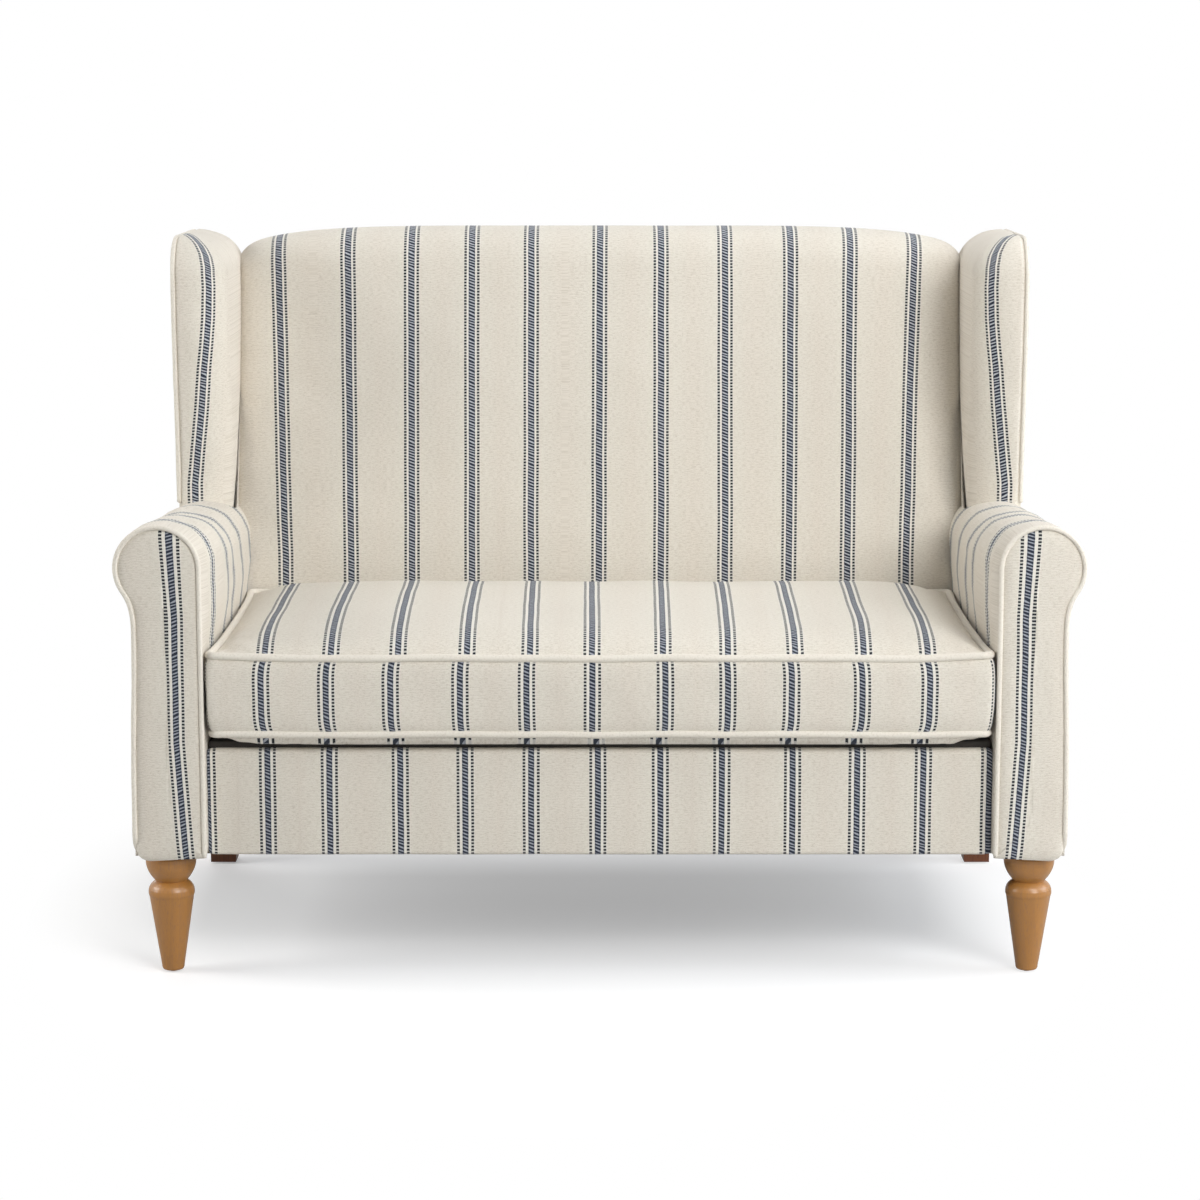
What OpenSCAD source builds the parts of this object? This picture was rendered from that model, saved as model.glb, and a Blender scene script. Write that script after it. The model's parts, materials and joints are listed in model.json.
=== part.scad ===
// High back settee for two: scroll arms, wings, one loose box cushion, turned front legs.
// Millimetres, +Z up, the front toward -Y, the origin on the floor under the middle of the whole.
// Every depth below is counted back from the front of the facing welts.

/* [Seat] */
// Clear width between the inside arms
seat_w = 1120; // [1000:1:1300]
// Height of the padded platform under the cushion
deck_h = 345; // [325:1:380]
// Thickness of the padded platform
deck_t = 18; // [12:1:24]
// Thickness of the felt over the springs
felt_t = 2; // [1.5:0.1:3]
// Height of the frame's underside above the floor
frame_z = 181.5; // [165:0.5:195]
// Thickness of the dust cover under the frame
cover_t = 1.5; // [1:0.1:2]
// How far the front border stands behind the facing welts
border_back = 10; // [6:1:16]
// Thickness of the padding on the front rail
border_pad = 24; // [18:1:30]

/* [Cushion] */
// Gap between the cushion and each inside arm
cushion_side_gap = 1.5; // [1:0.1:4]
// Gap between the cushion and the platform, the inside back
cushion_gap = 0.4; // [0.3:0.1:0.8]
// How far the cushion's front stands behind the facing welts
cushion_back = 10; // [6:1:20]
// Thickness of the foam core
core_t = 97; // [80:1:110]
// Swell of the top and bottom panels beyond the core
crown = 45; // [34:1:50]
// How much less the underside swells, pressed flat on the platform
crown_pressed = 22; // [14:1:28]
// Diameter of the cushion welts
cushion_welt_d = 12; // [9:0.5:14]
// Swell of the border between its welts
border_swell = 5; // [3:0.5:8]
// Corner radius of the cushion in plan
cushion_corner_r = 22; // [18:1:40]
// How far the middle of each side is drawn in
drawn_in = 3; // [1:0.5:6]
// Thickness of the padding round the core
wrap_t = 18; // [14:1:24]

/* [Zip] */
// How far each end of the zip stops before the end of the cushion
zip_end = 78; // [70:1:200]
// Width of the zip tape
zip_tape_w = 28; // [24:1:34]
// Thickness of the zip tape
zip_tape_t = 0.8; // [0.6:0.1:1]
// Width of the closed zip chain
zip_chain_w = 5; // [4:0.5:6]
// Thickness of the zip chain
zip_chain_t = 1.8; // [1.4:0.1:2.2]
// Length of the zip slider
slider_l = 10; // [8:0.5:14]
// Wall of the zip slider
slider_wall = 1; // [0.8:0.1:1.3]

/* [Arms] */
// Height of the arm at the facing
arm_h = 662; // [600:1:700]
// Width of the arm below the scroll
arm_w = 103; // [90:1:120]
// How far the scroll stands out past the outside arm
scroll_out = 24; // [14:1:34]
// Fall of the arm from the facing to the rear
arm_drop = 52; // [20:1:70]
// Height of the scroll's centre above the waist below it
neck_drop = 98; // [85:1:110]
// Flare of the outside arm from the waist to the foot
foot_flare = 5; // [0:0.5:8]
// Corner radius at the facing's outer foot
foot_r = 20; // [10:1:26]
// Padding of the inside arm
arm_pad = 15; // [14:1:20]
// Padding and cover of the outside arm
outside_t = 5; // [4:0.5:7]
// Diameter of the facing welts
facing_welt_d = 8; // [6:0.5:10]
// Thickness of the facing's padding
facing_t = 7; // [4:0.5:7.5]
// Thickness of the scroll board behind the facing
scroll_board_t = 16; // [12:1:20]
// Thickness of the cover drawn round the scroll board
collar_t = 10; // [9.2:0.1:13]

/* [Back] */
// Height of the top of the back
overall_h = 1045; // [1000:1:1090]
// Depth from the facing welts to the rear of the back
overall_d = 820; // [790:1:850]
// Lean of the outside back
back_lean = 7; // [5:0.5:9]
// Thickness of the back at its top
back_top_t = 134; // [120:1:150]
// Thickness of the back at the foot of its lean, from the inside back to the outside back
back_foot_t = 183; // [165:1:200]
// Radius of the roll over the top rail
back_roll_r = 62; // [50:1:65]
// Height at which the inside back starts to lean
lean_z = 480; // [440:1:520]
// Droop of the top toward the wings
back_droop = 30; // [10:1:40]
// Swell of the inside back in its middle
back_crown = 12; // [6:1:18]
// Thickness of the outside back's panel
outside_back_t = 5; // [4:0.5:7]

/* [Wings] */
// How far the wings stay below the top of the back
wing_below = 5; // [2:1:40]
// How far the wing's edge stands ahead of the inside back at the arm
wing_ahead = 70; // [50:1:90]
// How much further forward it stands at its top
wing_lean = 19; // [8:1:30]
// Corner radius at the wing's front top
wing_corner_r = 62; // [58:1:70]
// Corner radius at the wing's rear top
wing_rear_r = 62; // [58:1:70]
// Thickness of the wing
wing_t = 83; // [76:1:90]
// How far the wing's edge is drawn in where it is rounded toward the inner side
wing_round = 58; // [40:1:58]
// Width of the wing's edge beside its welt that isn't rounded
wing_flat = 3; // [2:1:12]
// Diameter of the wing welts
wing_welt_d = 8; // [6:0.5:10]
// Thickness of the wing board
wing_board_t = 18; // [12:1:22]
// Padding in front of and above the wing board
wing_pad = 26; // [20:1:32]

/* [Timber] */
// Thickness of the front, rear and middle rails
rail_t = 30; // [24:1:34]
// Thickness of the side rails and the width of the arm posts
side_rail_t = 50; // [44:1:54]
// Depth of the arm posts
arm_post_d = 45; // [40:1:52]
// Thickness of the arm rails
arm_rail_t = 60; // [50:1:66]
// Height of the arm rails
arm_rail_h = 40; // [30:1:50]
// Padding on top of the arm rails
arm_top_pad = 44; // [40:1:52]
// Height of the arm tack rails
tack_rail_h = 40; // [30:1:50]
// Height of the arm tack rails above the platform
tack_rail_up = 25; // [15:1:40]
// Width of the back posts
back_post_w = 60; // [50:1:66]
// Depth of the back posts
back_post_d = 60; // [50:1:64]
// Thickness of the crest rail, the back tack rail and the stiles
back_rail_t = 28; // [22:1:32]
// Height of the crest rail
crest_h = 55; // [45:1:70]
// Padding over the crest rail
crest_pad = 60; // [52:1:68]
// Height of the back tack rail
back_tack_h = 50; // [40:1:60]
// Height of the back tack rail above the platform
back_tack_up = 55; // [45:1:80]
// Width of the back stiles
stile_w = 45; // [35:1:60]
// Height of the middle rail
middle_rail_h = 45; // [35:1:55]
// Leg of the triangular corner blocks
block_leg = 70; // [50:1:80]
// Height of the corner blocks
block_h = 60; // [40:1:70]

/* [Suspension] */
// Number of zigzag springs
spring_count = 8; // [6:1:9]
// Number of half waves in a spring
spring_waves = 18; // [16:2:20]
// Width of a spring
spring_w = 60; // [56:1:66]
// Diameter of the spring wire
spring_wire_d = 3.6; // [3:0.1:4]
// Rise of a spring's arch over its ends
spring_arch = 14; // [8:1:20]
// Thickness of the spring clips
clip_t = 1.2; // [1:0.1:1.6]
// Length of the spring clips along the rail
clip_l = 18; // [14:1:22]
// Diameter of the tie wires
tie_wire_d = 3.2; // [2.4:0.1:3.6]
// Number of webbing bands in the back
web_count = 6; // [4:1:7]
// Width of the webbing
web_w = 50; // [40:1:60]
// Thickness of the webbing
web_t = 2; // [1.5:0.1:3]

/* [Front legs] */
// Distance of the front legs' axis from the outside arm
leg_in = 42; // [36:1:48]
// Distance of the front legs' axis behind the facing welts
leg_back = 55; // [50:1:60]
// Radius of the dome under the frame
dome_r = 36.5; // [32:0.5:40]
// Radius of the neck between dome and shoulder
neck_r = 22.5; // [18:0.5:24]
// Radius of the shoulder at the taper's top
shoulder_r = 33.3; // [28:0.5:36]
// Radius of the foot
foot_tip_r = 16.3; // [13:0.5:20]
// Height of the dome's widest ring
dome_z = 166; // [158:1:168]
// Height of the neck
neck_z = 136; // [132:1:142]
// Height of the shoulder's widest ring
shoulder_z = 120; // [114:1:124]
// Radius where the taper starts
taper_r = 32; // [26:0.5:34]
// Height where the taper starts
taper_z = 113; // [104:1:113]

/* [Rear legs] */
// Width of a rear leg at its top
rear_leg_w = 56; // [48:1:60]
// Depth of a rear leg at its top
rear_leg_d = 56; // [50:1:60]
// Width and depth of a rear leg at the floor
rear_foot_w = 41; // [34:1:46]
// Distance of the rear legs' outer face from the outside arm
rear_leg_in = 20; // [14:1:26]
// How far a rear leg rakes back toward the floor
rear_rake = 17; // [10:1:30]

/* [Fittings] */
// Diameter of the leg bolts
bolt_d = 8; // [6:0.5:10]
// Length of a leg bolt inside the leg
bolt_in_leg = 34; // [25:1:45]
// Length of a leg bolt inside the frame
bolt_in_frame = 28; // [20:1:36]
// Outer diameter of the threaded inserts
insert_d = 13; // [12:0.5:16]
// Height of the threaded inserts
insert_h = 18; // [12:1:20]
// Diameter of the glides
glide_d = 10; // [8:1:14]
// Height of the glides
glide_h = 3; // [2:0.5:4]
// Clearance round bolts, inserts and the zip chain
fit_gap = 0.15; // [0.1:0.05:0.25]
// Clearance between covered faces that meet
seam_gap = 0.3; // [0.2:0.1:0.5]

/* [Hidden] */

cover_color = "#e4ddcf";
welt_color = "#eae4d8";
frame_color = "#c9a877";
leg_color = "#b98a58";
rear_leg_color = "#8a5a34";
steel_color = "#9a9c9e";
felt_color = "#b9b2a4";
black_color = "#2b2b2c";

// Steps of the curves
arc_steps = 14;
corner_steps = 4;
cord_sides = 6;
smooth = 64;
// How far a cut runs past what it cuts
over = 5;

// Planes of the frame, right side
arm_in = seat_w / 2;
arm_out = arm_in + arm_w;
frame_out = arm_out - outside_t;
half_w = arm_out + scroll_out;
leg_h = frame_z - cover_t;
platform_z = deck_h - deck_t;

// The outside back and the faces that follow it, at the height z
back_top_z = overall_h - back_roll_r;
function rear_y(z) = overall_d - (back_top_z - z) * tan(back_lean);
function post_rear_y(z) = rear_y(z) - outside_back_t;
function post_front_y(z) = post_rear_y(z) - back_post_d;

// Depth from the front to the inside back at the cushion, and the wings that stand ahead of it
seat_d = rear_y(lean_z) - back_foot_t;
wing_h = overall_h - wing_below;
wing_foot_y = seat_d - wing_ahead;
wing_top_y = wing_foot_y - wing_lean;

// Where a spring lies, and the rails that carry it
wire_r = spring_wire_d / 2;
arch_z = platform_z - felt_t - wire_r;
spring_end_z = arch_z - spring_arch;
rail_top = spring_end_z - wire_r - fit_gap - clip_t;
rear_rail_y = post_front_y(frame_z);
front_rail_y = border_back + border_pad;
side_in = frame_out - side_rail_t;
post_in = frame_out - back_post_w;

// The scroll of an arm
scroll_r = (arm_w + scroll_out) / 2;
scroll_x = arm_in + scroll_r;
arm_length = rear_y(arm_h) - facing_welt_d;
arm_slope = arm_drop / arm_length;
function scroll_z(y) = arm_h - scroll_r - y * arm_slope;
function arm_rail_top(y) = scroll_z(y) + scroll_r - arm_top_pad;

// The point where a line that falls as the arm does, from the height z at the front, meets the back posts
function post_meet(z) =
    let (k = tan(back_lean), y = (post_front_y(0) + z * k) / (1 + arm_slope * k))
    [y, z - y * arm_slope];
rail_meet = post_meet(arm_rail_top(0));

// Front of the pieces that make up an arm's end
board_y = facing_welt_d;
arm_start = board_y + scroll_board_t;
post_back = arm_start + arm_post_d;

// Lift and place of the cushion
welt_r = cushion_welt_d / 2;
core_z = deck_h + cushion_gap + crown - crown_pressed;
core_top = core_z + core_t;
cushion_half = arm_in - cushion_side_gap;
cushion_rear = seat_d - cushion_gap - zip_tape_t - zip_chain_t - slider_wall - fit_gap;
cushion_mid_y = (cushion_back + cushion_rear) / 2;
cushion_half_d = (cushion_rear - cushion_back) / 2;
zip_z = core_z + core_t / 2;
zip_l = 2 * (cushion_half - zip_end);

crest_top = overall_h - crest_pad;
crest_low = crest_top - crest_h;
back_tack_low = deck_h + back_tack_up;
back_tack_top = back_tack_low + back_tack_h;
bolt_r = bolt_d / 2;
front_leg_x = arm_out - leg_in;
rear_leg_x = arm_out - rear_leg_in - rear_leg_w / 2;
rear_leg_y = (post_front_y(frame_z) + post_rear_y(frame_z)) / 2 - (back_post_d - rear_leg_d) / 2;
rear_foot_x = arm_out - rear_leg_in - rear_foot_w / 2;
rear_foot_y = rear_leg_y + rear_rake - (rear_leg_d - rear_foot_w) / 2;

// Ends of the springs and the strips that clip them to the rails
clip_w = 3 * spring_wire_d;
spring_front = front_rail_y + rail_t - clip_w / 2;
spring_rear = rear_rail_y + clip_w / 2;
spring_pitch = (spring_rear - spring_front) / spring_waves;
bend_steps = 3;
wire_sides = 5;

// The rounding beside a front leg's neck, the top of its dome and the pins of the glides
neck_round = 3;
dome_top_share = 0.8;
dome_top_r = dome_r * dome_top_share;
glide_pin_d = 3;
glide_pin_l = 14;

// Where the scroll turns into the waist, and how hard the curve there pulls
neck_angle = -35;
neck_pull_share = 0.36;

// Shares of the half width at which the back's profile is set out
back_shares = [0, 0.25, 0.5, 0.68, 0.82, 0.92, 0.97, 1];
back_half = arm_out - wing_t - seam_gap;

// Shares of the cushion's sides between its corners
long_shares = [0.8, 0.5, 0.2, -0.2, -0.5, -0.8];
short_shares = [0.5, -0.5];
// Shares of a panel's size, and of its rise there
panel_shares = [[1, 0.36], [0.975, 0.62], [0.92, 0.84], [0.75, 0.96], [0.4, 1]];
// Shares of the border's height, and of its swell that is missing there
border_shares = [[0, 1], [0.2, 0.35], [0.5, 0], [0.8, 0.35], [1, 1]];
zip_y = cushion_mid_y + cushion_half_d;

function unit(v) = v / norm(v);
function left_of(v) = [-v[1], v[0]];

// Points of an arc round c, from the angle a to the angle b
function arc(c, r, a, b, n) = [for (i = [0 : n]) let (t = a + (b - a) * i / n) c + r * [cos(t), sin(t)]];

// Points of a cubic curve with the four control points p
function curve(p, n) = [
    for (i = [0 : n])
        let (t = i / n, s = 1 - t)
        s * s * s * p[0] + 3 * s * s * t * p[1] + 3 * s * t * t * p[2] + t * t * t * p[3]
];

// A list without its first point
function rest(p) = [for (i = [1 : len(p) - 1]) p[i]];

// The direction toward the inside at point i of a closed anticlockwise outline, longer at corners
function inward(p, i) =
    let (
        n = len(p),
        a = unit(p[i] - p[(i + n - 1) % n]),
        b = unit(p[(i + 1) % n] - p[i]),
        m = left_of(unit(a + b))
    )
    m / max(m * left_of(b), 0.3);

// A closed outline moved inward by d
function inset(p, d) = [for (i = [0 : len(p) - 1]) p[i] + d * inward(p, i)];

function mean(p) = [for (k = [0 : len(p[0]) - 1]) let (c = [for (q = p) q[k]]) sum(c) / len(c)];
function sum(v, i = 0) = i == len(v) ? 0 : v[i] + sum(v, i + 1);

// A solid skinned over rings of equal length, each end closed from its middle.
// Each ring runs anticlockwise as seen from where the next one lies.
module loft(rings) {
    n = len(rings[0]);
    last = (len(rings) - 1) * n;
    top = len(rings) * n;
    polyhedron(
        points = concat([for (r = rings) each r], [mean(rings[0]), mean(rings[len(rings) - 1])]),
        faces = [
            for (k = [0 : len(rings) - 2], i = [0 : n - 1])
                let (a = k * n + i, b = k * n + (i + 1) % n)
                each [[a, b + n, b], [a, a + n, b + n]],
            for (i = [0 : n - 1]) [top, i, (i + 1) % n],
            for (i = [0 : n - 1]) [top + 1, last + (i + 1) % n, last + i]
        ]
    );
}

// A cord of radius r along the points p, which run square to the direction up, as a loop or with two ends
module cord(p, r, up, loop, sides = cord_sides) {
    n = len(p);
    rings = [
        for (i = [0 : n - 1])
            let (
                a = i > 0 ? unit(p[i] - p[i - 1]) : loop ? unit(p[0] - p[n - 1]) : unit(p[1] - p[0]),
                b = i < n - 1 ? unit(p[i + 1] - p[i]) : loop ? unit(p[0] - p[i]) : a,
                along = unit(a + b),
                side = unit(cross(up, along)),
                spread = 1 / max(along * b, 0.3)
            )
            [
                for (k = [0 : sides - 1])
                    let (t = (k + 0.5) * 360 / sides)
                    p[i] + r * (cos(t) * spread * side + sin(t) * cross(along, side))
            ]
    ];
    if (loop) {
        polyhedron(
            points = [for (ring = rings) each ring],
            faces = [
                for (i = [0 : n - 1], k = [0 : sides - 1])
                    let (
                        a = i * sides + k,
                        b = i * sides + (k + 1) % sides,
                        c = (i + 1) % n * sides + k,
                        d = (i + 1) % n * sides + (k + 1) % sides
                    )
                    each [[a, c, d], [a, d, b]]
            ]
        );
    } else {
        loft(rings);
    }
}

// Depths are counted from the front, so the whole moves forward by half its depth
module placed() {
    translate([0, -overall_d / 2, 0]) children();
}

module mirrored() {
    mirror([1, 0, 0]) children();
}

module both_sides() {
    children();
    mirrored() children();
}

// A board cut to the outline p in the YZ plane, between x0 and x1
module side_cut(p, x0, x1) {
    translate([x0, 0, 0]) rotate([90, 0, 90]) linear_extrude(x1 - x0) polygon(p);
}

// A board cut to the outline p in the XZ plane, from the depth y backward by t
module front_cut(p, y, t) {
    translate([0, y + t, 0]) rotate([90, 0, 0]) linear_extrude(t) polygon(p);
}

// A box between two corners
module box(a, b) {
    translate(a) cube(b - a);
}

// The outline of an arm seen from the front, where the scroll's centre is at the height zc
function arm_outline(zc) =
    let (
        neck = [arm_out, zc - neck_drop],
        foot = [arm_out + foot_flare - foot_r, leg_h + foot_r]
    )
    concat(
        [[arm_in, leg_h], [foot[0], leg_h]],
        rest(arc(foot, foot_r, -90, 0, corner_steps)),
        rest(curve([
            foot + [foot_r, 0], [arm_out + foot_flare, neck[1] - neck_drop], neck - [0, neck_drop], neck
        ], corner_steps)),
        scroll_points(zc)
    );

// The scroll from the waist up under it, over its top and down to its inner side
function scroll_points(zc) =
    let (
        c = [scroll_x, zc],
        neck = [arm_out, zc - neck_drop],
        tip = c + scroll_r * [cos(neck_angle), sin(neck_angle)],
        pull = scroll_r * neck_pull_share
    )
    concat(
        rest(curve([neck, neck + [0, pull], tip + pull * [sin(neck_angle), -cos(neck_angle)], tip], corner_steps)),
        rest(arc(c, scroll_r, neck_angle, 180, arc_steps))
    );

// The arm's section behind the facing at the depth y, closed inside its hollow down to z_low
function arm_ring(y, z_low) =
    let (zc = scroll_z(y), x = frame_out - outside_t)
    concat(
        [[arm_in, z_low], [x, z_low], [x, zc - neck_drop], [arm_out, zc - neck_drop]],
        scroll_points(zc)
    );

// A ring of XZ points stood up at the depth y, or on the leaning plane before the outside back
function at_depth(p, y) = [for (q = p) [q[0], y, q[1]]];
function at_rear(p, past = 0) = [for (q = p) [q[0], post_rear_y(q[1]) + past, q[1]]];

// The whole arm behind its scroll board, without the hollow, run past the rear where it cuts
module arm_form(past = 0) {
    loft([
        at_rear(arm_ring(arm_length, platform_z), past),
        at_depth(arm_ring(arm_start, platform_z), arm_start)
    ]);
}

// The hollow of an arm, under the top of its rail and up its back post
module arm_hollow() {
    side_cut([
        [0, 0], [overall_d + over, 0], [overall_d + over, crest_top], [post_front_y(crest_top), crest_top],
        rail_meet, [0, arm_rail_top(0)]
    ], arm_in + arm_pad, frame_out);
}

module inside_arm() {
    difference() {
        arm_form();
        arm_hollow();
        wing_board(over);
        leaning_rail(back_tack_low, back_tack_top, -post_in, post_in);
    }
}

module scroll_board() {
    front_cut(inset(arm_outline(scroll_z(0)), collar_t), board_y, scroll_board_t);
}

// The padded facing and its cover, drawn round the edge of the scroll board
module arm_facing() {
    p = arm_outline(scroll_z(0));
    pad = inset(p, facing_welt_d);
    front_cut(
        concat([[pad[0][0], leg_h], [pad[1][0], leg_h]], rest(pad)),
        board_y - facing_t, facing_t
    );
    difference() {
        front_cut(p, board_y, scroll_board_t);
        front_cut(inset(p, collar_t), board_y, scroll_board_t + over);
    }
}

// The welt up the inner side of a facing, over the scroll and down to the foot, open along the bottom
module facing_welt() {
    r = facing_welt_d / 2;
    q = inset(arm_outline(scroll_z(0)), r);
    path = concat(rest(q), [[arm_in + r, leg_h]]);
    cord([for (c = path) [c[0], r, c[1]]], r, [0, -1, 0], false);
}

// The flat outside of an arm, from the waist to the foot
module outside_arm() {
    flare = arm_out + foot_flare;
    function outside_ring(y) =
        let (z = scroll_z(y) - neck_drop)
        [[frame_out, leg_h], [flare, leg_h], [arm_out, z], [frame_out, z]];
    loft([at_rear(outside_ring(arm_length)), at_depth(outside_ring(arm_start), arm_start)]);
}

module arm_post() {
    side_cut([
        [arm_start, frame_z], [post_back, frame_z],
        [post_back, arm_rail_top(post_back) - arm_rail_h], [arm_start, arm_rail_top(arm_start) - arm_rail_h]
    ], side_in, frame_out);
}

// A sloping rail behind the scroll board, its rear end cut to the back post
module arm_rail() {
    side_cut([
        [arm_start, arm_rail_top(arm_start) - arm_rail_h], post_meet(arm_rail_top(0) - arm_rail_h),
        rail_meet, [arm_start, arm_rail_top(arm_start)]
    ], frame_out - arm_rail_t, frame_out);
}

module arm_tack_rail() {
    z0 = deck_h + tack_rail_up;
    z1 = z0 + tack_rail_h;
    x0 = arm_in + arm_pad;
    side_cut([[arm_start, z0], [post_front_y(z0), z0], [post_front_y(z1), z1], [arm_start, z1]], x0, side_in);
}

module back_post() {
    side_cut([
        [post_front_y(frame_z), frame_z], [post_rear_y(frame_z), frame_z],
        [post_rear_y(crest_top), crest_top], [post_front_y(crest_top), crest_top]
    ], post_in, frame_out);
}

// A rail that follows the lean of the posts' front faces, from the height z0 to z1, set back by d
module leaning_rail(z0, z1, x0, x1, d = 0) {
    side_cut([
        [post_front_y(z0) + d, z0], [post_front_y(z0) + back_rail_t, z0],
        [post_front_y(z1) + back_rail_t, z1], [post_front_y(z1) + d, z1]
    ], x0, x1);
}

module crest_rail() {
    color(frame_color) leaning_rail(crest_low, crest_top, -post_in, post_in);
}

module back_tack_rail() {
    color(frame_color) leaning_rail(back_tack_low, back_tack_top, -post_in, post_in);
}

module back_stiles() {
    x = post_in / 3;
    color(frame_color) for (side = [-1, 1])
        leaning_rail(back_tack_top, crest_low, side * x - stile_w / 2, side * x + stile_w / 2, web_t);
}

// Bands from the back tack rail to the crest rail, on their front faces
module back_webbing() {
    pitch = 2 * post_in / web_count;
    color(felt_color) for (i = [0 : web_count - 1]) {
        x = (i + 0.5) * pitch - post_in;
        side_cut([
            [post_front_y(back_tack_low) - web_t, back_tack_low], [post_front_y(back_tack_low), back_tack_low],
            [post_front_y(crest_top), crest_top], [post_front_y(crest_top) - web_t, crest_top]
        ], x - web_w / 2, x + web_w / 2);
    }
}

// The profile of the back in the YZ plane, from its foot up the front, over the roll and down to the panel
back_profile =
    let (
        lean_top = [overall_d - back_top_t, back_top_z],
        roll = [lean_top[0] + back_roll_r, back_top_z],
        rear = [post_rear_y(back_top_z) - back_roll_r, back_top_z]
    )
    concat(
        [[seat_d, platform_z], [seat_d, (platform_z + lean_z) / 2]],
        curve([
            [seat_d, lean_z], [seat_d, lean_z + back_roll_r],
            lean_top - [back_roll_r * tan(2 * back_lean), 2 * back_roll_r], lean_top
        ], corner_steps + 2),
        rest(arc(roll, back_roll_r, 180, 90, corner_steps)),
        arc(rear, back_roll_r, 90, 0, corner_steps),
        [[post_rear_y(platform_z), platform_z]]
    );

// The back's profile at the share s of its half width: its front swells, its top droops
function back_ring(s) =
    let (
        droop = back_droop * pow(s, 6) + back_roll_r / 4 * pow(s, 40),
        swell = back_crown * (1 - pow(s, 4))
    )
    [
        for (p = back_profile)
            let (
                up = max(0, (p[1] - lean_z) / (overall_h - lean_z)),
                front = p[0] < post_front_y(p[1]) ? sin(180 * min(1, up)) : 0
            )
            [
                s * back_half,
                p[0] - front * swell + (p[0] < post_front_y(p[1]) ? up * back_crown * pow(s, 12) : 0),
                p[1] - droop * pow(up, 6)
            ]
    ];

module inside_back() {
    color(cover_color) difference() {
        loft([
            for (i = [len(back_shares) - 1 : -1 : 1 - len(back_shares)])
                let (ring = back_ring(back_shares[abs(i)]))
                i < 0 ? [for (p = ring) [-p[0], p[1], p[2]]] : ring
        ]);
        side_cut([
            [post_front_y(0) - web_t, 0], [overall_d + over, 0],
            [overall_d + over, crest_top], [post_front_y(crest_top) - web_t, crest_top]
        ], -half_w, half_w);
        both_sides() arm_form(over);
    }
}

module outside_back() {
    color(cover_color) side_cut([
        [post_rear_y(leg_h), leg_h], [rear_y(leg_h), leg_h],
        [rear_y(back_top_z), back_top_z], [post_rear_y(back_top_z), back_top_z]
    ], -arm_out, arm_out);
}

// The outline of a wing in the YZ plane, anticlockwise, and how far its edge is rounded at each point
wing_low = arm_h - arm_drop - scroll_r;
wing_front = let (c = [wing_top_y + wing_corner_r, wing_h - wing_corner_r])
    concat(
        [[wing_foot_y, wing_low]],
        curve([
            [wing_foot_y, arm_h], [wing_foot_y - wing_lean / 3, (arm_h + c[1]) / 2],
            [wing_top_y, (arm_h + c[1]) / 2], [wing_top_y, c[1]]
        ], corner_steps),
        rest(arc(c, wing_corner_r, 180, 90, corner_steps + 2))
    );
wing_rear = let (c = [post_rear_y(wing_h - wing_rear_r) - wing_rear_r, wing_h - wing_rear_r])
    concat(
        [[(wing_top_y + c[0]) / 2, wing_h]],
        arc(c, wing_rear_r, 90, 0, corner_steps)
    );
wing_path = concat(wing_front, wing_rear);

// The wing's outline moved in by d along its front and top
function wing_ring(x, d) =
    let (p = concat(wing_path, [[post_rear_y(wing_low), wing_low]]), n = len(p))
    [
        for (i = [0 : n - 1])
            let (
                held = i == 0 || i >= n - 2,
                m = held ? [i == 0 ? 1 : 0, 0] : -inward(p, i),
                q = p[i] + d * m
            )
            [x, q[0], q[1]]
    ];

module wing_form() {
    r = wing_welt_d;
    x0 = arm_out - wing_t;
    w = wing_t - r - wing_flat;
    loft([wing_ring(arm_out, r), wing_ring(arm_out - r, r)]);
    loft(concat(
        [wing_ring(arm_out - r, 0)],
        [
            for (i = [0 : corner_steps])
                let (t = 90 * i / corner_steps)
                wing_ring(x0 + w * (1 - sin(t)), wing_round * (1 - cos(t)))
        ]
    ));
}

module wing() {
    difference() {
        wing_form();
        arm_form(over);
        wing_board(over);
        side_cut([
            rail_meet, [overall_d + over, rail_meet[1]],
            [overall_d + over, crest_top], [post_front_y(crest_top), crest_top]
        ], arm_in, frame_out);
    }
}

// A board on the arm rail and against the back post, run past both where it cuts
module wing_board(past = 0) {
    x = (arm_out - wing_t + arm_out) / 2;
    front = wing_foot_y + wing_pad;
    top = wing_h - wing_pad - wing_round / 2;
    c = [wing_top_y + wing_pad + wing_corner_r, top - wing_corner_r];
    side_cut(concat(
        [[front, arm_rail_top(front) - past], [front, arm_h]],
        arc(c, wing_corner_r, 180, 90, corner_steps),
        [[post_front_y(top) + past, top], rail_meet + [past, -past]]
    ), x - wing_board_t / 2, x + wing_board_t / 2);
}

// The welt in the rebate of the wing's outer edge, from the arm up and over to the rear
module wing_welt() {
    r = wing_welt_d / 2;
    x = arm_out - r;
    aside = arm_out - wing_welt_d - scroll_x;
    rise = sqrt(scroll_r * scroll_r - aside * aside);
    foot = [wing_foot_y + r, scroll_z(wing_foot_y) + rise + seam_gap];
    path = concat([foot], [for (i = [1 : len(wing_path) - 3]) wing_path[i] - r * inward(wing_path, i)]);
    cord([for (q = path) [x, q[0], q[1]]], r, [1, 0, 0], false);
}

module front_rail() {
    color(frame_color) box([-side_in, front_rail_y, frame_z], [side_in, front_rail_y + rail_t, rail_top]);
}

module rear_rail() {
    color(frame_color) box([-post_in, rear_rail_y, frame_z], [post_in, rear_rail_y + rail_t, rail_top]);
}

module side_rail() {
    side_cut([
        [post_back, frame_z], [post_front_y(frame_z), frame_z],
        [post_front_y(rail_top), rail_top], [post_back, rail_top]
    ], side_in, frame_out);
}

module middle_rail() {
    color(frame_color) box(
        [-rail_t / 2, front_rail_y + rail_t, frame_z],
        [rail_t / 2, rear_rail_y, frame_z + middle_rail_h]
    );
}

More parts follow.
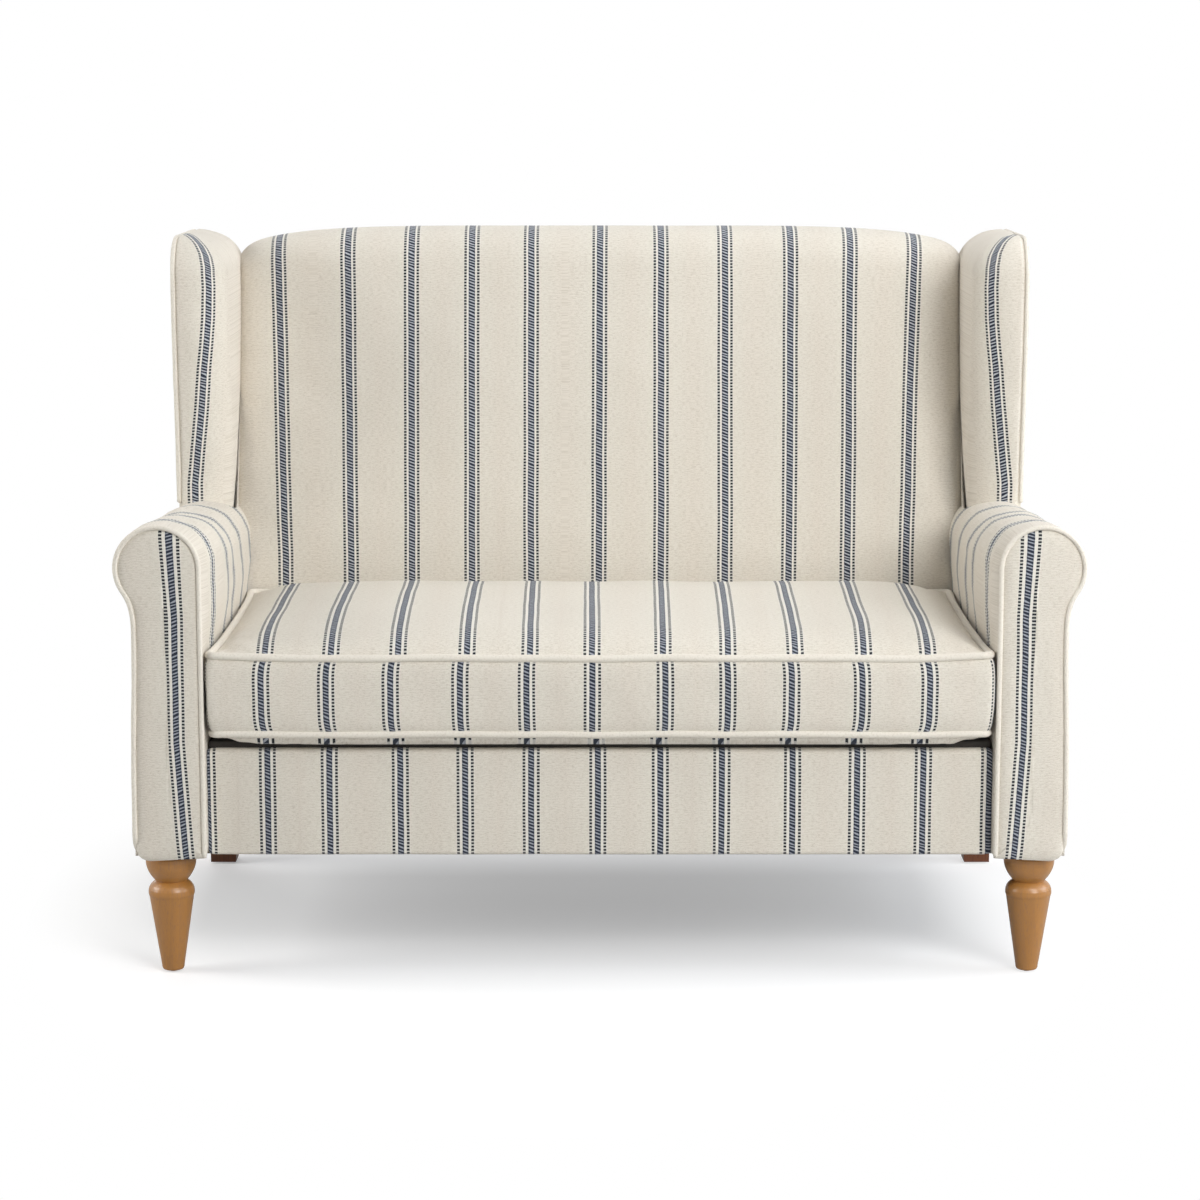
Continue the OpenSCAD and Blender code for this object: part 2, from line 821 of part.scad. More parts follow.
// Triangular blocks glued into the corners of the seat frame
module corner_blocks() {
    front = front_rail_y + rail_t;
    color(frame_color) both_sides() translate([0, 0, frame_z]) linear_extrude(block_h) {
        polygon([[side_in, front], [side_in, front + block_leg], [side_in - block_leg, front]]);
        polygon([
            [side_in, rear_rail_y], [side_in - block_leg, rear_rail_y],
            [side_in, rear_rail_y - block_leg]
        ]);
    }
}

// The height of a spring's wire along its arch, at its bar i
function spring_at(i) =
    let (t = i / spring_waves)
    [spring_front + i * spring_pitch, spring_end_z + spring_arch * 4 * t * (1 - t)];

// Bars across the spring, joined by half round bends at its two edges in turn
function spring_path() =
    let (r = spring_pitch / 2, bar = spring_w / 2 - r - wire_r)
    concat(
        [[-bar, spring_front, spring_end_z]],
        [
            for (i = [0 : spring_waves - 1], k = [0 : bend_steps])
                let (
                    t = k / bend_steps,
                    at = spring_at(i) * (1 - t) + spring_at(i + 1) * t,
                    side = i % 2 == 0 ? 1 : -1
                )
                [side * (bar + r * sin(180 * t)), (spring_at(i)[0] + spring_at(i + 1)[0]) / 2 - r * cos(180 * t), at[1]]
        ],
        [[spring_waves % 2 == 0 ? bar : -bar, spring_rear, spring_end_z]]
    );

function spring_place(i) = (i - (spring_count - 1) / 2) * 2 * side_in / (spring_count + 0.5);

module seat_springs() {
    color(steel_color) for (i = [0 : spring_count - 1]) translate([spring_place(i), 0, 0])
        cord(spring_path(), wire_r, [0, 0, 1], false, wire_sides);
}

// A strip bent round the end bar of a spring and nailed to the rail's top, seen from the side
module clip_section() {
    r = wire_r + fit_gap;
    difference() {
        union() {
            circle(r = r + clip_t, $fn = smooth);
            translate([0, -r - clip_t]) square([clip_w - wire_r, clip_t]);
        }
        circle(r = r, $fn = smooth);
    }
}

module spring_clips() {
    color(steel_color) for (i = [0 : spring_count - 1]) translate([spring_place(i) - clip_l / 2, 0, 0]) {
        translate([0, spring_front, spring_end_z]) rotate([90, 0, 90]) linear_extrude(clip_l) mirror([1, 0]) clip_section();
        translate([0, spring_rear, spring_end_z]) rotate([90, 0, 90]) linear_extrude(clip_l) clip_section();
    }
}

// Wires across all the springs, under them, from side rail to side rail
module tie_wires() {
    r = tie_wire_d / 2;
    color(black_color) for (k = [1, 2]) {
        p = spring_at(round(k * spring_waves / 3));
        translate([-side_in, p[0], p[1] - wire_r - r - seam_gap]) rotate([0, 90, 0])
            cylinder(r = r, h = 2 * side_in, $fn = smooth);
    }
}

module seat_felt() {
    color(felt_color) box(
        [-arm_in, spring_front - clip_w, platform_z - felt_t],
        [arm_in, post_front_y(platform_z) - web_t - over, platform_z]
    );
}

// Firm foam on the front rail's top, which carries the front of the platform
module edge_roll() {
    color(felt_color) box(
        [-arm_in + seam_gap, front_rail_y, rail_top],
        [arm_in - seam_gap, spring_front - clip_w, platform_z]
    );
}

// A strip of padding in the YZ plane with its two front corners rounded
function rounded_front(y0, z0, y1, z1, r) = concat(
    [[y1, z0]], arc([y0 + r, z0 + r], r, 270, 180, corner_steps),
    arc([y0 + r, z1 - r], r, 180, 90, corner_steps), [[y1, z1]]
);

module seat_deck() {
    color(cover_color) side_cut(
        [[front_rail_y, platform_z], [seat_d - seam_gap, platform_z], [seat_d - seam_gap, deck_h], [front_rail_y, deck_h]],
        -arm_in + seam_gap, arm_in - seam_gap
    );
}

module front_border() {
    color(cover_color) side_cut(
        rounded_front(border_back, leg_h, front_rail_y, deck_h, border_pad / 3),
        -arm_in + seam_gap, arm_in - seam_gap
    );
}

module dust_cover() {
    color(black_color) difference() {
        box([-frame_out, front_rail_y, leg_h], [frame_out, post_rear_y(leg_h), frame_z]);
        both_sides() {
            translate([front_leg_x, leg_back, 0]) cylinder(r = bolt_r + fit_gap, h = frame_z + over, $fn = smooth);
            translate([rear_leg_x, rear_leg_y, 0]) cylinder(r = bolt_r + fit_gap, h = frame_z + over, $fn = smooth);
        }
    }
}

// Half of a front leg's outline: radius and height, from the glide up
front_leg_profile = concat(
    [[0, glide_h], [foot_tip_r - glide_h, glide_h]],
    rest(curve([
        [foot_tip_r - glide_h, glide_h], [foot_tip_r - glide_h / 3, glide_h],
        [foot_tip_r, 2 * glide_h], [foot_tip_r, 3 * glide_h]
    ], corner_steps)),
    [[taper_r, taper_z]],
    rest(curve([
        [taper_r, taper_z], [shoulder_r, (taper_z + shoulder_z) / 2],
        [shoulder_r, (taper_z + shoulder_z) / 2], [shoulder_r, shoulder_z]
    ], corner_steps)),
    rest(curve([
        [shoulder_r, shoulder_z], [shoulder_r, (shoulder_z + neck_z) / 2],
        [(shoulder_r + neck_r) / 2, neck_z - neck_round], [neck_r, neck_z]
    ], corner_steps + 2)),
    rest(curve([
        [neck_r, neck_z], [neck_r + neck_round, neck_z + neck_round],
        [dome_r, (neck_z + dome_z) / 2], [dome_r, dome_z]
    ], corner_steps + 4)),
    rest(curve([
        [dome_r, dome_z], [dome_r, (dome_z + leg_h) / 2], [dome_top_r + neck_round, leg_h], [dome_top_r, leg_h]
    ], corner_steps)),
    [[0, leg_h]]
);

module front_leg() {
    translate([front_leg_x, leg_back, 0]) difference() {
        rotate_extrude($fn = smooth) polygon(front_leg_profile);
        translate([0, 0, leg_h - bolt_in_leg]) cylinder(r = bolt_r + fit_gap, h = bolt_in_leg + over, $fn = smooth);
        glide_pin_bore();
    }
}

// The bore of a glide's pin, up from the floor
module glide_pin_bore() {
    cylinder(r = glide_pin_d / 2 + fit_gap, h = glide_h + glide_pin_l + fit_gap, $fn = smooth);
}

// A square of side w, or of w by d, round the point c at the height z
function block_ring(c, w, d, z) = [
    for (q = [[-1, -1], [1, -1], [1, 1], [-1, 1]]) [c[0] + q[0] * w / 2, c[1] + q[1] * d / 2, z]
];

module rear_leg() {
    difference() {
        loft([
            block_ring([rear_foot_x, rear_foot_y], rear_foot_w, rear_foot_w, glide_h),
            block_ring([rear_leg_x, rear_leg_y], rear_leg_w, rear_leg_d, leg_h)
        ]);
        translate([rear_leg_x, rear_leg_y, leg_h - bolt_in_leg])
            cylinder(r = bolt_r + fit_gap, h = bolt_in_leg + over, $fn = smooth);
        translate([rear_foot_x, rear_foot_y, 0]) glide_pin_bore();
    }
}

module at_legs() {
    both_sides() {
        translate([front_leg_x, leg_back, 0]) children();
        translate([rear_leg_x, rear_leg_y, 0]) children();
    }
}

module leg_bolts() {
    color(steel_color) at_legs() translate([0, 0, leg_h - bolt_in_leg + fit_gap])
        cylinder(r = bolt_r, h = bolt_in_leg + bolt_in_frame - 2 * fit_gap, $fn = smooth);
}

module insert_bores() {
    at_legs() {
        translate([0, 0, frame_z - over]) cylinder(r = insert_d / 2 + fit_gap, h = insert_h + over, $fn = smooth);
        translate([0, 0, frame_z]) cylinder(r = bolt_r + fit_gap, h = bolt_in_frame, $fn = smooth);
    }
}

module leg_inserts() {
    color("#b6a25e") at_legs() translate([0, 0, frame_z]) difference() {
        cylinder(r = insert_d / 2, h = insert_h - fit_gap, $fn = smooth);
        translate([0, 0, -over]) cylinder(r = bolt_r + fit_gap, h = insert_h + 2 * over, $fn = smooth);
    }
}

module glide() {
    cylinder(r = glide_d / 2, h = glide_h, $fn = smooth);
    translate([0, 0, glide_h]) cylinder(r = glide_pin_d / 2, h = glide_pin_l, $fn = smooth);
}

module glides() {
    color(steel_color) both_sides() {
        translate([front_leg_x, leg_back, 0]) glide();
        translate([rear_foot_x, rear_foot_y, 0]) glide();
    }
}

// The cushion in plan, moved in by d: corners of the given radius, sides drawn in toward their middle
function cushion_outline(d) =
    let (w = cushion_half - d, h = cushion_half_d - d, r = cushion_corner_r - d / 2)
    [
        for (q = [[1, 1, 0], [-1, 1, 90], [-1, -1, 180], [1, -1, 270]])
            each concat(
                arc([q[0] * (w - r), q[1] * (h - r)], r, q[2], q[2] + 90, corner_steps),
                [
                    for (s = q[0] * q[1] > 0 ? long_shares : short_shares)
                        let (in = drawn_in * (1 - s * s))
                        q[0] * q[1] > 0
                            ? [q[0] * s * (w - r), q[1] * (h - in)]
                            : [q[0] * (w - in), q[1] * s * (h - r)]
                ]
            )
    ];

// One swollen panel of the cushion: flat where it lies on the core, risen by h in its middle
module cushion_panel(h) {
    base = cushion_outline(border_swell + cushion_welt_d);
    mid = [0, cushion_mid_y];
    loft(concat(
        [[for (p = base) [p[0], p[1] + mid[1], 0]]],
        [
            for (s = panel_shares)
                [for (p = base) [p[0] * s[0], p[1] * s[0] + mid[1], h * s[1]]]
        ]
    ));
}

module cushion_top() {
    color(cover_color) translate([0, 0, core_top]) cushion_panel(crown);
}

module cushion_bottom() {
    color(cover_color) translate([0, 0, core_z]) mirror([0, 0, 1]) cushion_panel(crown - crown_pressed);
}

// The border round the core, swollen between the welts and flat behind the zip
module cushion_border() {
    n = len(cushion_outline(0));
    wall = border_swell + wrap_t;
    outer = [for (s = border_shares) cushion_outline(border_swell * s[1])];
    inner = cushion_outline(wall);
    m = len(border_shares);
    points = concat(
        [for (k = [0 : m - 1], p = outer[k]) [p[0], p[1] + cushion_mid_y, core_z + core_t * border_shares[k][0]]],
        [for (z = [core_top, core_z], p = inner) [p[0], p[1] + cushion_mid_y, z]]
    );
    color(cover_color) polyhedron(
        points = points,
        faces = [
            for (k = [0 : m + 1], i = [0 : n - 1])
                let (a = k * n + i, b = k * n + (i + 1) % n, up = (k + 1) % (m + 2) * n, c = up + i, d = up + (i + 1) % n)
                each [[a, d, b], [a, c, d]]
        ]
    );
}

module cushion_core() {
    color("#efe3b0") translate([0, cushion_mid_y, core_z]) linear_extrude(core_t)
        polygon(cushion_outline(border_swell + wrap_t + fit_gap));
}

module cushion_welt(z) {
    r = welt_r;
    color(welt_color) translate([0, cushion_mid_y, 0])
        cord([for (q = cushion_outline(border_swell + r)) [q[0], q[1], z]], r, [0, 0, 1], true);
}

module cushion_welt_top() {
    cushion_welt(core_top + welt_r);
}

module cushion_welt_bottom() {
    cushion_welt(core_z - welt_r);
}

// Tape and closed chain, sewn across the rear of the border
module cushion_zip() {
    color("#8d8a82") {
        box([-zip_l / 2, zip_y, zip_z - zip_tape_w / 2], [zip_l / 2, zip_y + zip_tape_t, zip_z + zip_tape_w / 2]);
        box([-zip_l / 2, zip_y + zip_tape_t, zip_z - zip_chain_w / 2],
            [zip_l / 2, zip_y + zip_tape_t + zip_chain_t, zip_z + zip_chain_w / 2]);
    }
}

// A plain slider that rides over the chain, here at the closed end
module zip_slider() {
    g = fit_gap + zip_chain_w / 2;
    y0 = zip_y + zip_tape_t + fit_gap;
    y1 = zip_y + zip_tape_t + zip_chain_t + fit_gap;
    x1 = zip_l / 2;
    color(steel_color) difference() {
        box([x1 - slider_l, y0, zip_z - g - slider_wall], [x1, y1 + slider_wall, zip_z + g + slider_wall]);
        box([x1 - slider_l - over, y0 - over, zip_z - g], [x1 + over, y1, zip_z + g]);
    }
}

module side_rail_right() {
    color(frame_color) side_rail();
}

module side_rail_left() {
    mirrored() side_rail_right();
}

module arm_post_right() {
    color(frame_color) difference() {
        arm_post();
        insert_bores();
    }
}

module arm_post_left() {
    mirrored() arm_post_right();
}

module arm_rail_right() {
    color(frame_color) arm_rail();
}

module arm_rail_left() {
    mirrored() arm_rail_right();
}

module arm_tack_rail_right() {
    color(frame_color) arm_tack_rail();
}

module arm_tack_rail_left() {
    mirrored() arm_tack_rail_right();
}

module scroll_board_right() {
    color(frame_color) scroll_board();
}

module scroll_board_left() {
    mirrored() scroll_board_right();
}

module back_post_right() {
    color(frame_color) difference() {
        back_post();
        insert_bores();
    }
}

module back_post_left() {
    mirrored() back_post_right();
}

module wing_board_right() {
    color(frame_color) wing_board();
}

module wing_board_left() {
    mirrored() wing_board_right();
}

module inside_arm_right() {
    color(cover_color) inside_arm();
}

module inside_arm_left() {
    mirrored() inside_arm_right();
}

module outside_arm_right() {
    color(cover_color) outside_arm();
}

module outside_arm_left() {
    mirrored() outside_arm_right();
}

module arm_facing_right() {
    color(cover_color) arm_facing();
}

module arm_facing_left() {
    mirrored() arm_facing_right();
}

module facing_welt_right() {
    color(welt_color) facing_welt();
}

module facing_welt_left() {
    mirrored() facing_welt_right();
}

module wing_right() {
    color(cover_color) wing();
}

module wing_left() {
    mirrored() wing_right();
}

module wing_welt_right() {
    color(welt_color) wing_welt();
}

module wing_welt_left() {
    mirrored() wing_welt_right();
}

module front_leg_right() {
    color(leg_color) front_leg();
}

module front_leg_left() {
    mirrored() front_leg_right();
}

module rear_leg_right() {
    color(rear_leg_color) rear_leg();
}

module rear_leg_left() {
    mirrored() rear_leg_right();
}

placed() front_rail();
placed() rear_rail();
placed() side_rail_left();
placed() side_rail_right();
placed() middle_rail();
placed() corner_blocks();
placed() arm_post_left();
placed() arm_post_right();
placed() arm_rail_left();
placed() arm_rail_right();
placed() arm_tack_rail_left();
placed() arm_tack_rail_right();
placed() scroll_board_left();
placed() scroll_board_right();
placed() back_post_left();
placed() back_post_right();
placed() crest_rail();
placed() back_tack_rail();
placed() back_stiles();
placed() wing_board_left();
placed() wing_board_right();
placed() seat_springs();
placed() spring_clips();
placed() tie_wires();
placed() seat_felt();
placed() edge_roll();
placed() seat_deck();
placed() back_webbing();
placed() front_border();
placed() inside_back();
placed() outside_back();
placed() inside_arm_left();
placed() inside_arm_right();
placed() outside_arm_left();
placed() outside_arm_right();
placed() arm_facing_left();
placed() arm_facing_right();
placed() facing_welt_left();
placed() facing_welt_right();
placed() wing_left();
placed() wing_right();
placed() wing_welt_left();
placed() wing_welt_right();
placed() dust_cover();
placed() front_leg_left();
placed() front_leg_right();
placed() rear_leg_left();
placed() rear_leg_right();
placed() leg_bolts();
placed() leg_inserts();
placed() glides();
placed() cushion_core();
placed() cushion_top();
placed() cushion_bottom();
placed() cushion_border();
placed() cushion_welt_top();
placed() cushion_welt_bottom();
placed() cushion_zip();
placed() zip_slider();
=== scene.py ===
"""High back settee: covers, cushion, welts, finishes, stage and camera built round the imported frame.

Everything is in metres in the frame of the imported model: X along the width, Y toward the rear, Z up,
the floor at 0. A place called a depth is counted backward from the front of the facing welts.
"""

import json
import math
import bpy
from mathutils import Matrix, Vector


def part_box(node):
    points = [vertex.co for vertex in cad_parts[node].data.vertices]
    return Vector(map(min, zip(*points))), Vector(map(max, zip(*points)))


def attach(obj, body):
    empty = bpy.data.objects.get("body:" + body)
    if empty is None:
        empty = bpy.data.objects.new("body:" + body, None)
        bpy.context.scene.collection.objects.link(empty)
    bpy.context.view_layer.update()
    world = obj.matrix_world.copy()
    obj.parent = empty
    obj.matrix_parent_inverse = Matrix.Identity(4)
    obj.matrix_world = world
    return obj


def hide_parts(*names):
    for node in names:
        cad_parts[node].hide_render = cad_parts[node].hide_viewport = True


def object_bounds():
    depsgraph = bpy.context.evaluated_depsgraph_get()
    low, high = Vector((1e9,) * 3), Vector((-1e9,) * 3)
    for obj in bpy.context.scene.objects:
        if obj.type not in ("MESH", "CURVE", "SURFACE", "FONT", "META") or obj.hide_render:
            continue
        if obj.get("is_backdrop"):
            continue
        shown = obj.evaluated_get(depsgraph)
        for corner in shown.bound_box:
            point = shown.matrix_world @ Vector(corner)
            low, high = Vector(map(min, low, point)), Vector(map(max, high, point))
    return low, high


bl_info = {
    "name": "High Back Settee",
    "version": (1, 0, 0),
    "blender": (4, 5, 0),
    "location": "3D View > Sidebar > Settee",
    "description": "Covers, cushion, welts and finishes of a high back settee with wings and scroll arms",
    "category": "Object",
}

import bmesh
import bpy
import numpy as np
from mathutils import Vector

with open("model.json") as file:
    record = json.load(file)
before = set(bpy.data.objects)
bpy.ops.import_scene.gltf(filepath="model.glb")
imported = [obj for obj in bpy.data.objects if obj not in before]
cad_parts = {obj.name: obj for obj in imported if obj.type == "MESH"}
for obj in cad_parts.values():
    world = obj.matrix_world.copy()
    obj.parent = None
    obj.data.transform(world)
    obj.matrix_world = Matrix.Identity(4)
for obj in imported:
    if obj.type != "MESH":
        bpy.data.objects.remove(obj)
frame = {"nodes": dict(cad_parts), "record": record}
CAD_LOW, CAD_HIGH = (np.array(corner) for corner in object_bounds())
FRONT = float(CAD_LOW[1])
SEAT_LOW, SEAT_HIGH = (np.array(corner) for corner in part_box("seat_deck"))
CORE_LOW, CORE_HIGH = (np.array(corner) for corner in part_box("cushion_core"))
UV = "cloth"

# Where the stripes run, in metres from the middle: over the back at its foot and its top,
# over the seat cushion at its front and rear, round its border and over the strip below
BACK_FOOT = (-0.601, -0.5012, -0.3968, -0.2996, -0.2040, -0.1100, -0.0016,
             0.0972, 0.1992, 0.3012, 0.3944, 0.4876, 0.5880)
BACK_TOP = (-0.622, -0.5180, -0.4048, -0.3028, -0.2056, -0.1100, 0.0000,
            0.0980, 0.2008, 0.3060, 0.4017, 0.5053, 0.6080)
SEAT_FRONT = (-0.5700, -0.4758, -0.3819, -0.2864, -0.1885, -0.0992, -0.0113,
              0.0893, 0.1814, 0.2768, 0.3742, 0.4648, 0.5600)
SEAT_REAR = (-0.5850, -0.4815, -0.3887, -0.2950, -0.1941, -0.1050, -0.0127,
             0.0954, 0.1901, 0.2840, 0.3865, 0.4735, 0.5740)
SEAT_SIDE = (-0.5740, -0.4766, -0.3858, -0.2950, -0.1972, -0.1035, -0.0106,
             0.0922, 0.1801, 0.2695, 0.3688, 0.4638, 0.5680)
SEAT_UNDER = (-0.5740, -0.4756, -0.3888, -0.2905, -0.1951, -0.1040, -0.0050,
              0.0840, 0.1723, 0.2677, 0.3617, 0.4550, 0.5518)
RAIL_FRONT = (-0.5618, -0.4758, -0.3872, -0.2858, -0.1929, -0.0986, -0.0029,
              0.0864, 0.1743, 0.2758, 0.3679, 0.4622, 0.5572)
# Depths of the stripes over an arm: low on its inner side, higher up on it, and at its crest
ARM_LOW = (-0.100, 0.1075, 0.245, 0.353, 0.454, 0.560, 0.660, 0.760, 0.860)
ARM_INSIDE = (-0.100, 0.1065, 0.291, 0.3705, 0.4735, 0.5805, 0.680, 0.780, 0.880)
ARM_CREST = (-0.100, 0.1030, 0.213, 0.270, 0.400, 0.545, 0.640, 0.740, 0.840)
# Heights on an arm's facing with the distance of its one stripe from the middle
FACING_HEIGHT = (0.180, 0.205, 0.350, 0.430, 0.530, 0.645)
FACING_STRIPE = (0.5915, 0.5932, 0.6018, 0.6015, 0.6012, 0.6060)
FACING_STRETCH = (1.0, 1.0, 1.0, 1.0, 0.97, 0.82)
# Lengths up and over a wing's edge with the distance of its stripe from the outer side
WING_RUN = (0.11, 0.22, 0.29, 0.325, 0.365, 0.415, 0.45, 0.475, 0.495, 0.52, 0.56, 0.62)
WING_STRIPE = (0.030, 0.043, 0.050, 0.0548, 0.059, 0.0615, 0.060, 0.055, 0.046, 0.028, 0.010, -0.020)
# Shift, in stripes, of the stripes on the settee's two outer sides
ASIDE = 0.2
# Area lamps: place, point that they face, size in metres, watts and colour
LAMPS = {
    "overhead": ((0.2, -0.9, 3.2), (0, -0.05, 0.5), (3.4, 2.6), 8, (0.97, 0.985, 1)),
    "overhead_rear": ((0, 1.2, 3.0), (0, 0.2, 0.6), (3.0, 2.0), 28, (0.96, 0.975, 1)),
    "key": ((2.4, -3.8, 2.5), (0, 0, 0.6), (2.2, 2.0), 121, (1, 1, 1)),
    "key_high": ((1.6, -3.3, 3.5), (0, 0, 0.5), (2.2, 2.0), 52, (1, 1, 1)),
    "side_right": ((3.6, -0.4, 1.7), (0, 0.1, 0.6), (2.0, 1.8), 62, (0.91, 0.95, 1)),
    "side_left": ((-3.6, -0.4, 1.7), (0, 0.1, 0.6), (2.0, 1.8), 74, (1, 0.995, 0.98)),
    "high_right": ((2.2, -0.8, 3.0), (0, 0, 0.6), (1.8, 1.8), 16, (0.95, 0.97, 1)),
    "rear": ((-1.4, 3.4, 1.8), (0, 0, 0.6), (2.4, 1.8), 26, (1, 1, 1)),
}
# The camera: metres in front of the settee and above the floor, degrees downward, lens in mm
CAMERA_AWAY, CAMERA_HEIGHT, CAMERA_DOWN, CAMERA_LENS = 4.3078, 1.2826, 9.576, 93.0


# Sizes and colours that a user would change


class SetteeSizes(bpy.types.PropertyGroup):
    """Sizes of the covers and the cushion"""

    seat_half: bpy.props.FloatProperty(
        name="Seat half width", description="Half the width between the inside arms",
        default=round(float(SEAT_HIGH[0]), 3) + 0.0022, min=0.4, max=0.8, unit="LENGTH")
    arm_width: bpy.props.FloatProperty(
        name="Arm width", description="Thickness of an arm below its scroll", default=0.1008, unit="LENGTH")
    scroll_radius: bpy.props.FloatProperty(
        name="Scroll radius", description="Radius of an arm's scroll", default=0.0624, unit="LENGTH")
    arm_height: bpy.props.FloatProperty(
        name="Arm height", description="Height of an arm's scroll at the front", default=0.662, unit="LENGTH")
    arm_fall: bpy.props.FloatProperty(
        name="Arm fall", description="How far an arm falls toward the rear", default=0.052, unit="LENGTH")
    neck_drop: bpy.props.FloatProperty(
        name="Neck drop", description="Height from the scroll's middle down to the waist under it",
        default=0.098, unit="LENGTH")
    lean: bpy.props.FloatProperty(
        name="Lean", description="Lean of the outside back", default=math.radians(7), subtype="ANGLE")
    wing_thickness: bpy.props.FloatProperty(
        name="Wing thickness", description="Thickness of a wing", default=0.083, unit="LENGTH")
    wing_round: bpy.props.FloatProperty(
        name="Wing rounding", description="How far a wing's edge is drawn in at its inner side",
        default=0.058, unit="LENGTH")
    back_roll: bpy.props.FloatProperty(
        name="Back roll", description="Radius of the roll over the top rail", default=0.062, unit="LENGTH")
    crown: bpy.props.FloatProperty(
        name="Cushion crown", description="Rise of the seat cushion's top over its core",
        default=0.045, unit="LENGTH")
    cushion_welt: bpy.props.FloatProperty(
        name="Cushion welt", description="Radius of the welts of the cushion", default=0.0056, unit="LENGTH")
    facing_welt: bpy.props.FloatProperty(
        name="Facing welt", description="Radius of the welts of the facings and wings",
        default=0.0036, unit="LENGTH")
    stripe_pitch: bpy.props.FloatProperty(
        name="Stripe pitch", description="Distance from stripe to stripe in the cloth",
        default=0.1, unit="LENGTH")


class SetteeColours(bpy.types.PropertyGroup):
    """Colours of the cloth, the wood and the stage"""

    ground: bpy.props.FloatVectorProperty(
        name="Cloth ground", description="Cream ground of the striped cloth", subtype="COLOR", size=4,
        default=(0.770, 0.735, 0.650, 1), min=0, max=1)
    warm: bpy.props.FloatVectorProperty(
        name="Warm band", description="Warmer tone between the stripes", subtype="COLOR", size=4,
        default=(0.750, 0.690, 0.605, 1), min=0, max=1)
    white: bpy.props.FloatVectorProperty(
        name="Stripe white", description="White beside the blue bands", subtype="COLOR", size=4,
        default=(0.81, 0.80, 0.75, 1), min=0, max=1)
    blue: bpy.props.FloatVectorProperty(
        name="Stripe blue", description="Blue of the ladder bands", subtype="COLOR", size=4,
        default=(0.014, 0.021, 0.038, 1), min=0, max=1)
    dots: bpy.props.FloatVectorProperty(
        name="Stripe dots", description="Dark blue of the dotted lines", subtype="COLOR", size=4,
        default=(0.006, 0.008, 0.012, 1), min=0, max=1)
    light_wood: bpy.props.FloatVectorProperty(
        name="Front leg wood", description="Lacquered wood of the turned legs", subtype="COLOR", size=4,
        default=(0.45, 0.20, 0.042, 1), min=0, max=1)
    # the rear legs' dark tone is partly their stain and partly painted shade, for the shadow under the seat
    # where they stand
    dark_wood: bpy.props.FloatVectorProperty(
        name="Rear leg wood", description="Stained wood of the square legs", subtype="COLOR", size=4,
        default=(0.20, 0.062, 0.020, 1), min=0, max=1)
    floor: bpy.props.FloatVectorProperty(
        name="Floor", description="Pale floor and backdrop", subtype="COLOR", size=4,
        default=(0.62, 0.62, 0.615, 1), min=0, max=1)


# Shader expressions and finishes


class Value:
    """A socket of a shader tree. Arithmetic on values adds Math nodes."""

    def __init__(self, tree, socket):
        self.tree, self.socket = tree, socket

    def math(self, operation, *others, clamp=False):
        values = dict(enumerate((self, *others)))
        return self.tree.add("ShaderNodeMath", {"operation": operation, "use_clamp": clamp}, values)

    def __add__(self, other):
        return self.math("ADD", other)

    def __radd__(self, other):
        return self.math("ADD", other)

    def __mul__(self, other):
        return self.math("MULTIPLY", other)

    def __rmul__(self, other):
        return self.math("MULTIPLY", other)

    def __sub__(self, other):
        return self.math("SUBTRACT", other)

    def __rsub__(self, other):
        return self.tree.add("ShaderNodeMath", {"operation": "SUBTRACT"}, {0: other, 1: self})

    def __truediv__(self, other):
        return self.math("DIVIDE", other)

    def __abs__(self):
        return self.math("ABSOLUTE")

    def below(self, edge, soft):
        """1 where the value is under the edge, 0 over it, with a ramp of width soft."""
        return ((edge - self) / soft + 0.5).clamped()

    def clamped(self):
        """The value held between 0 and 1."""
        return self.math("ADD", 0.0, clamp=True)

    def fraction(self):
        return self.math("FRACT")

    def sine(self):
        return self.math("SINE")

    def power(self, exponent):
        return self.math("POWER", exponent)


class Tree:
    """The nodes of one shader tree. One method adds them all."""

    def __init__(self, tree):
        self.nodes, self.links = tree.nodes, tree.links

    def add(self, kind, settings=None, values=None, out=0):
        """Adds a node of a type: its settings first, then numbers, colours or links for its sockets."""
        node = self.nodes.new(kind)
        for key, value in (settings or {}).items():
            if key == "stops":
                ramp = node.color_ramp
                while len(ramp.elements) < len(value):
                    ramp.elements.new(0.5)
                for element, (place, tone) in zip(ramp.elements, value):
                    element.position, element.color = place, tone
            else:
                setattr(node, key, value)
        for key, value in (values or {}).items():
            if isinstance(value, Value):
                self.links.new(value.socket, node.inputs[key])
            else:
                node.inputs[key].default_value = value
        return Value(self, node.outputs[out])

    def output(self, value):
        """Feeds the tree's output with a shader."""
        end = next(n for n in self.nodes if n.type in ("OUTPUT_MATERIAL", "OUTPUT_WORLD"))
        self.links.new(value.socket, end.inputs["Surface"])


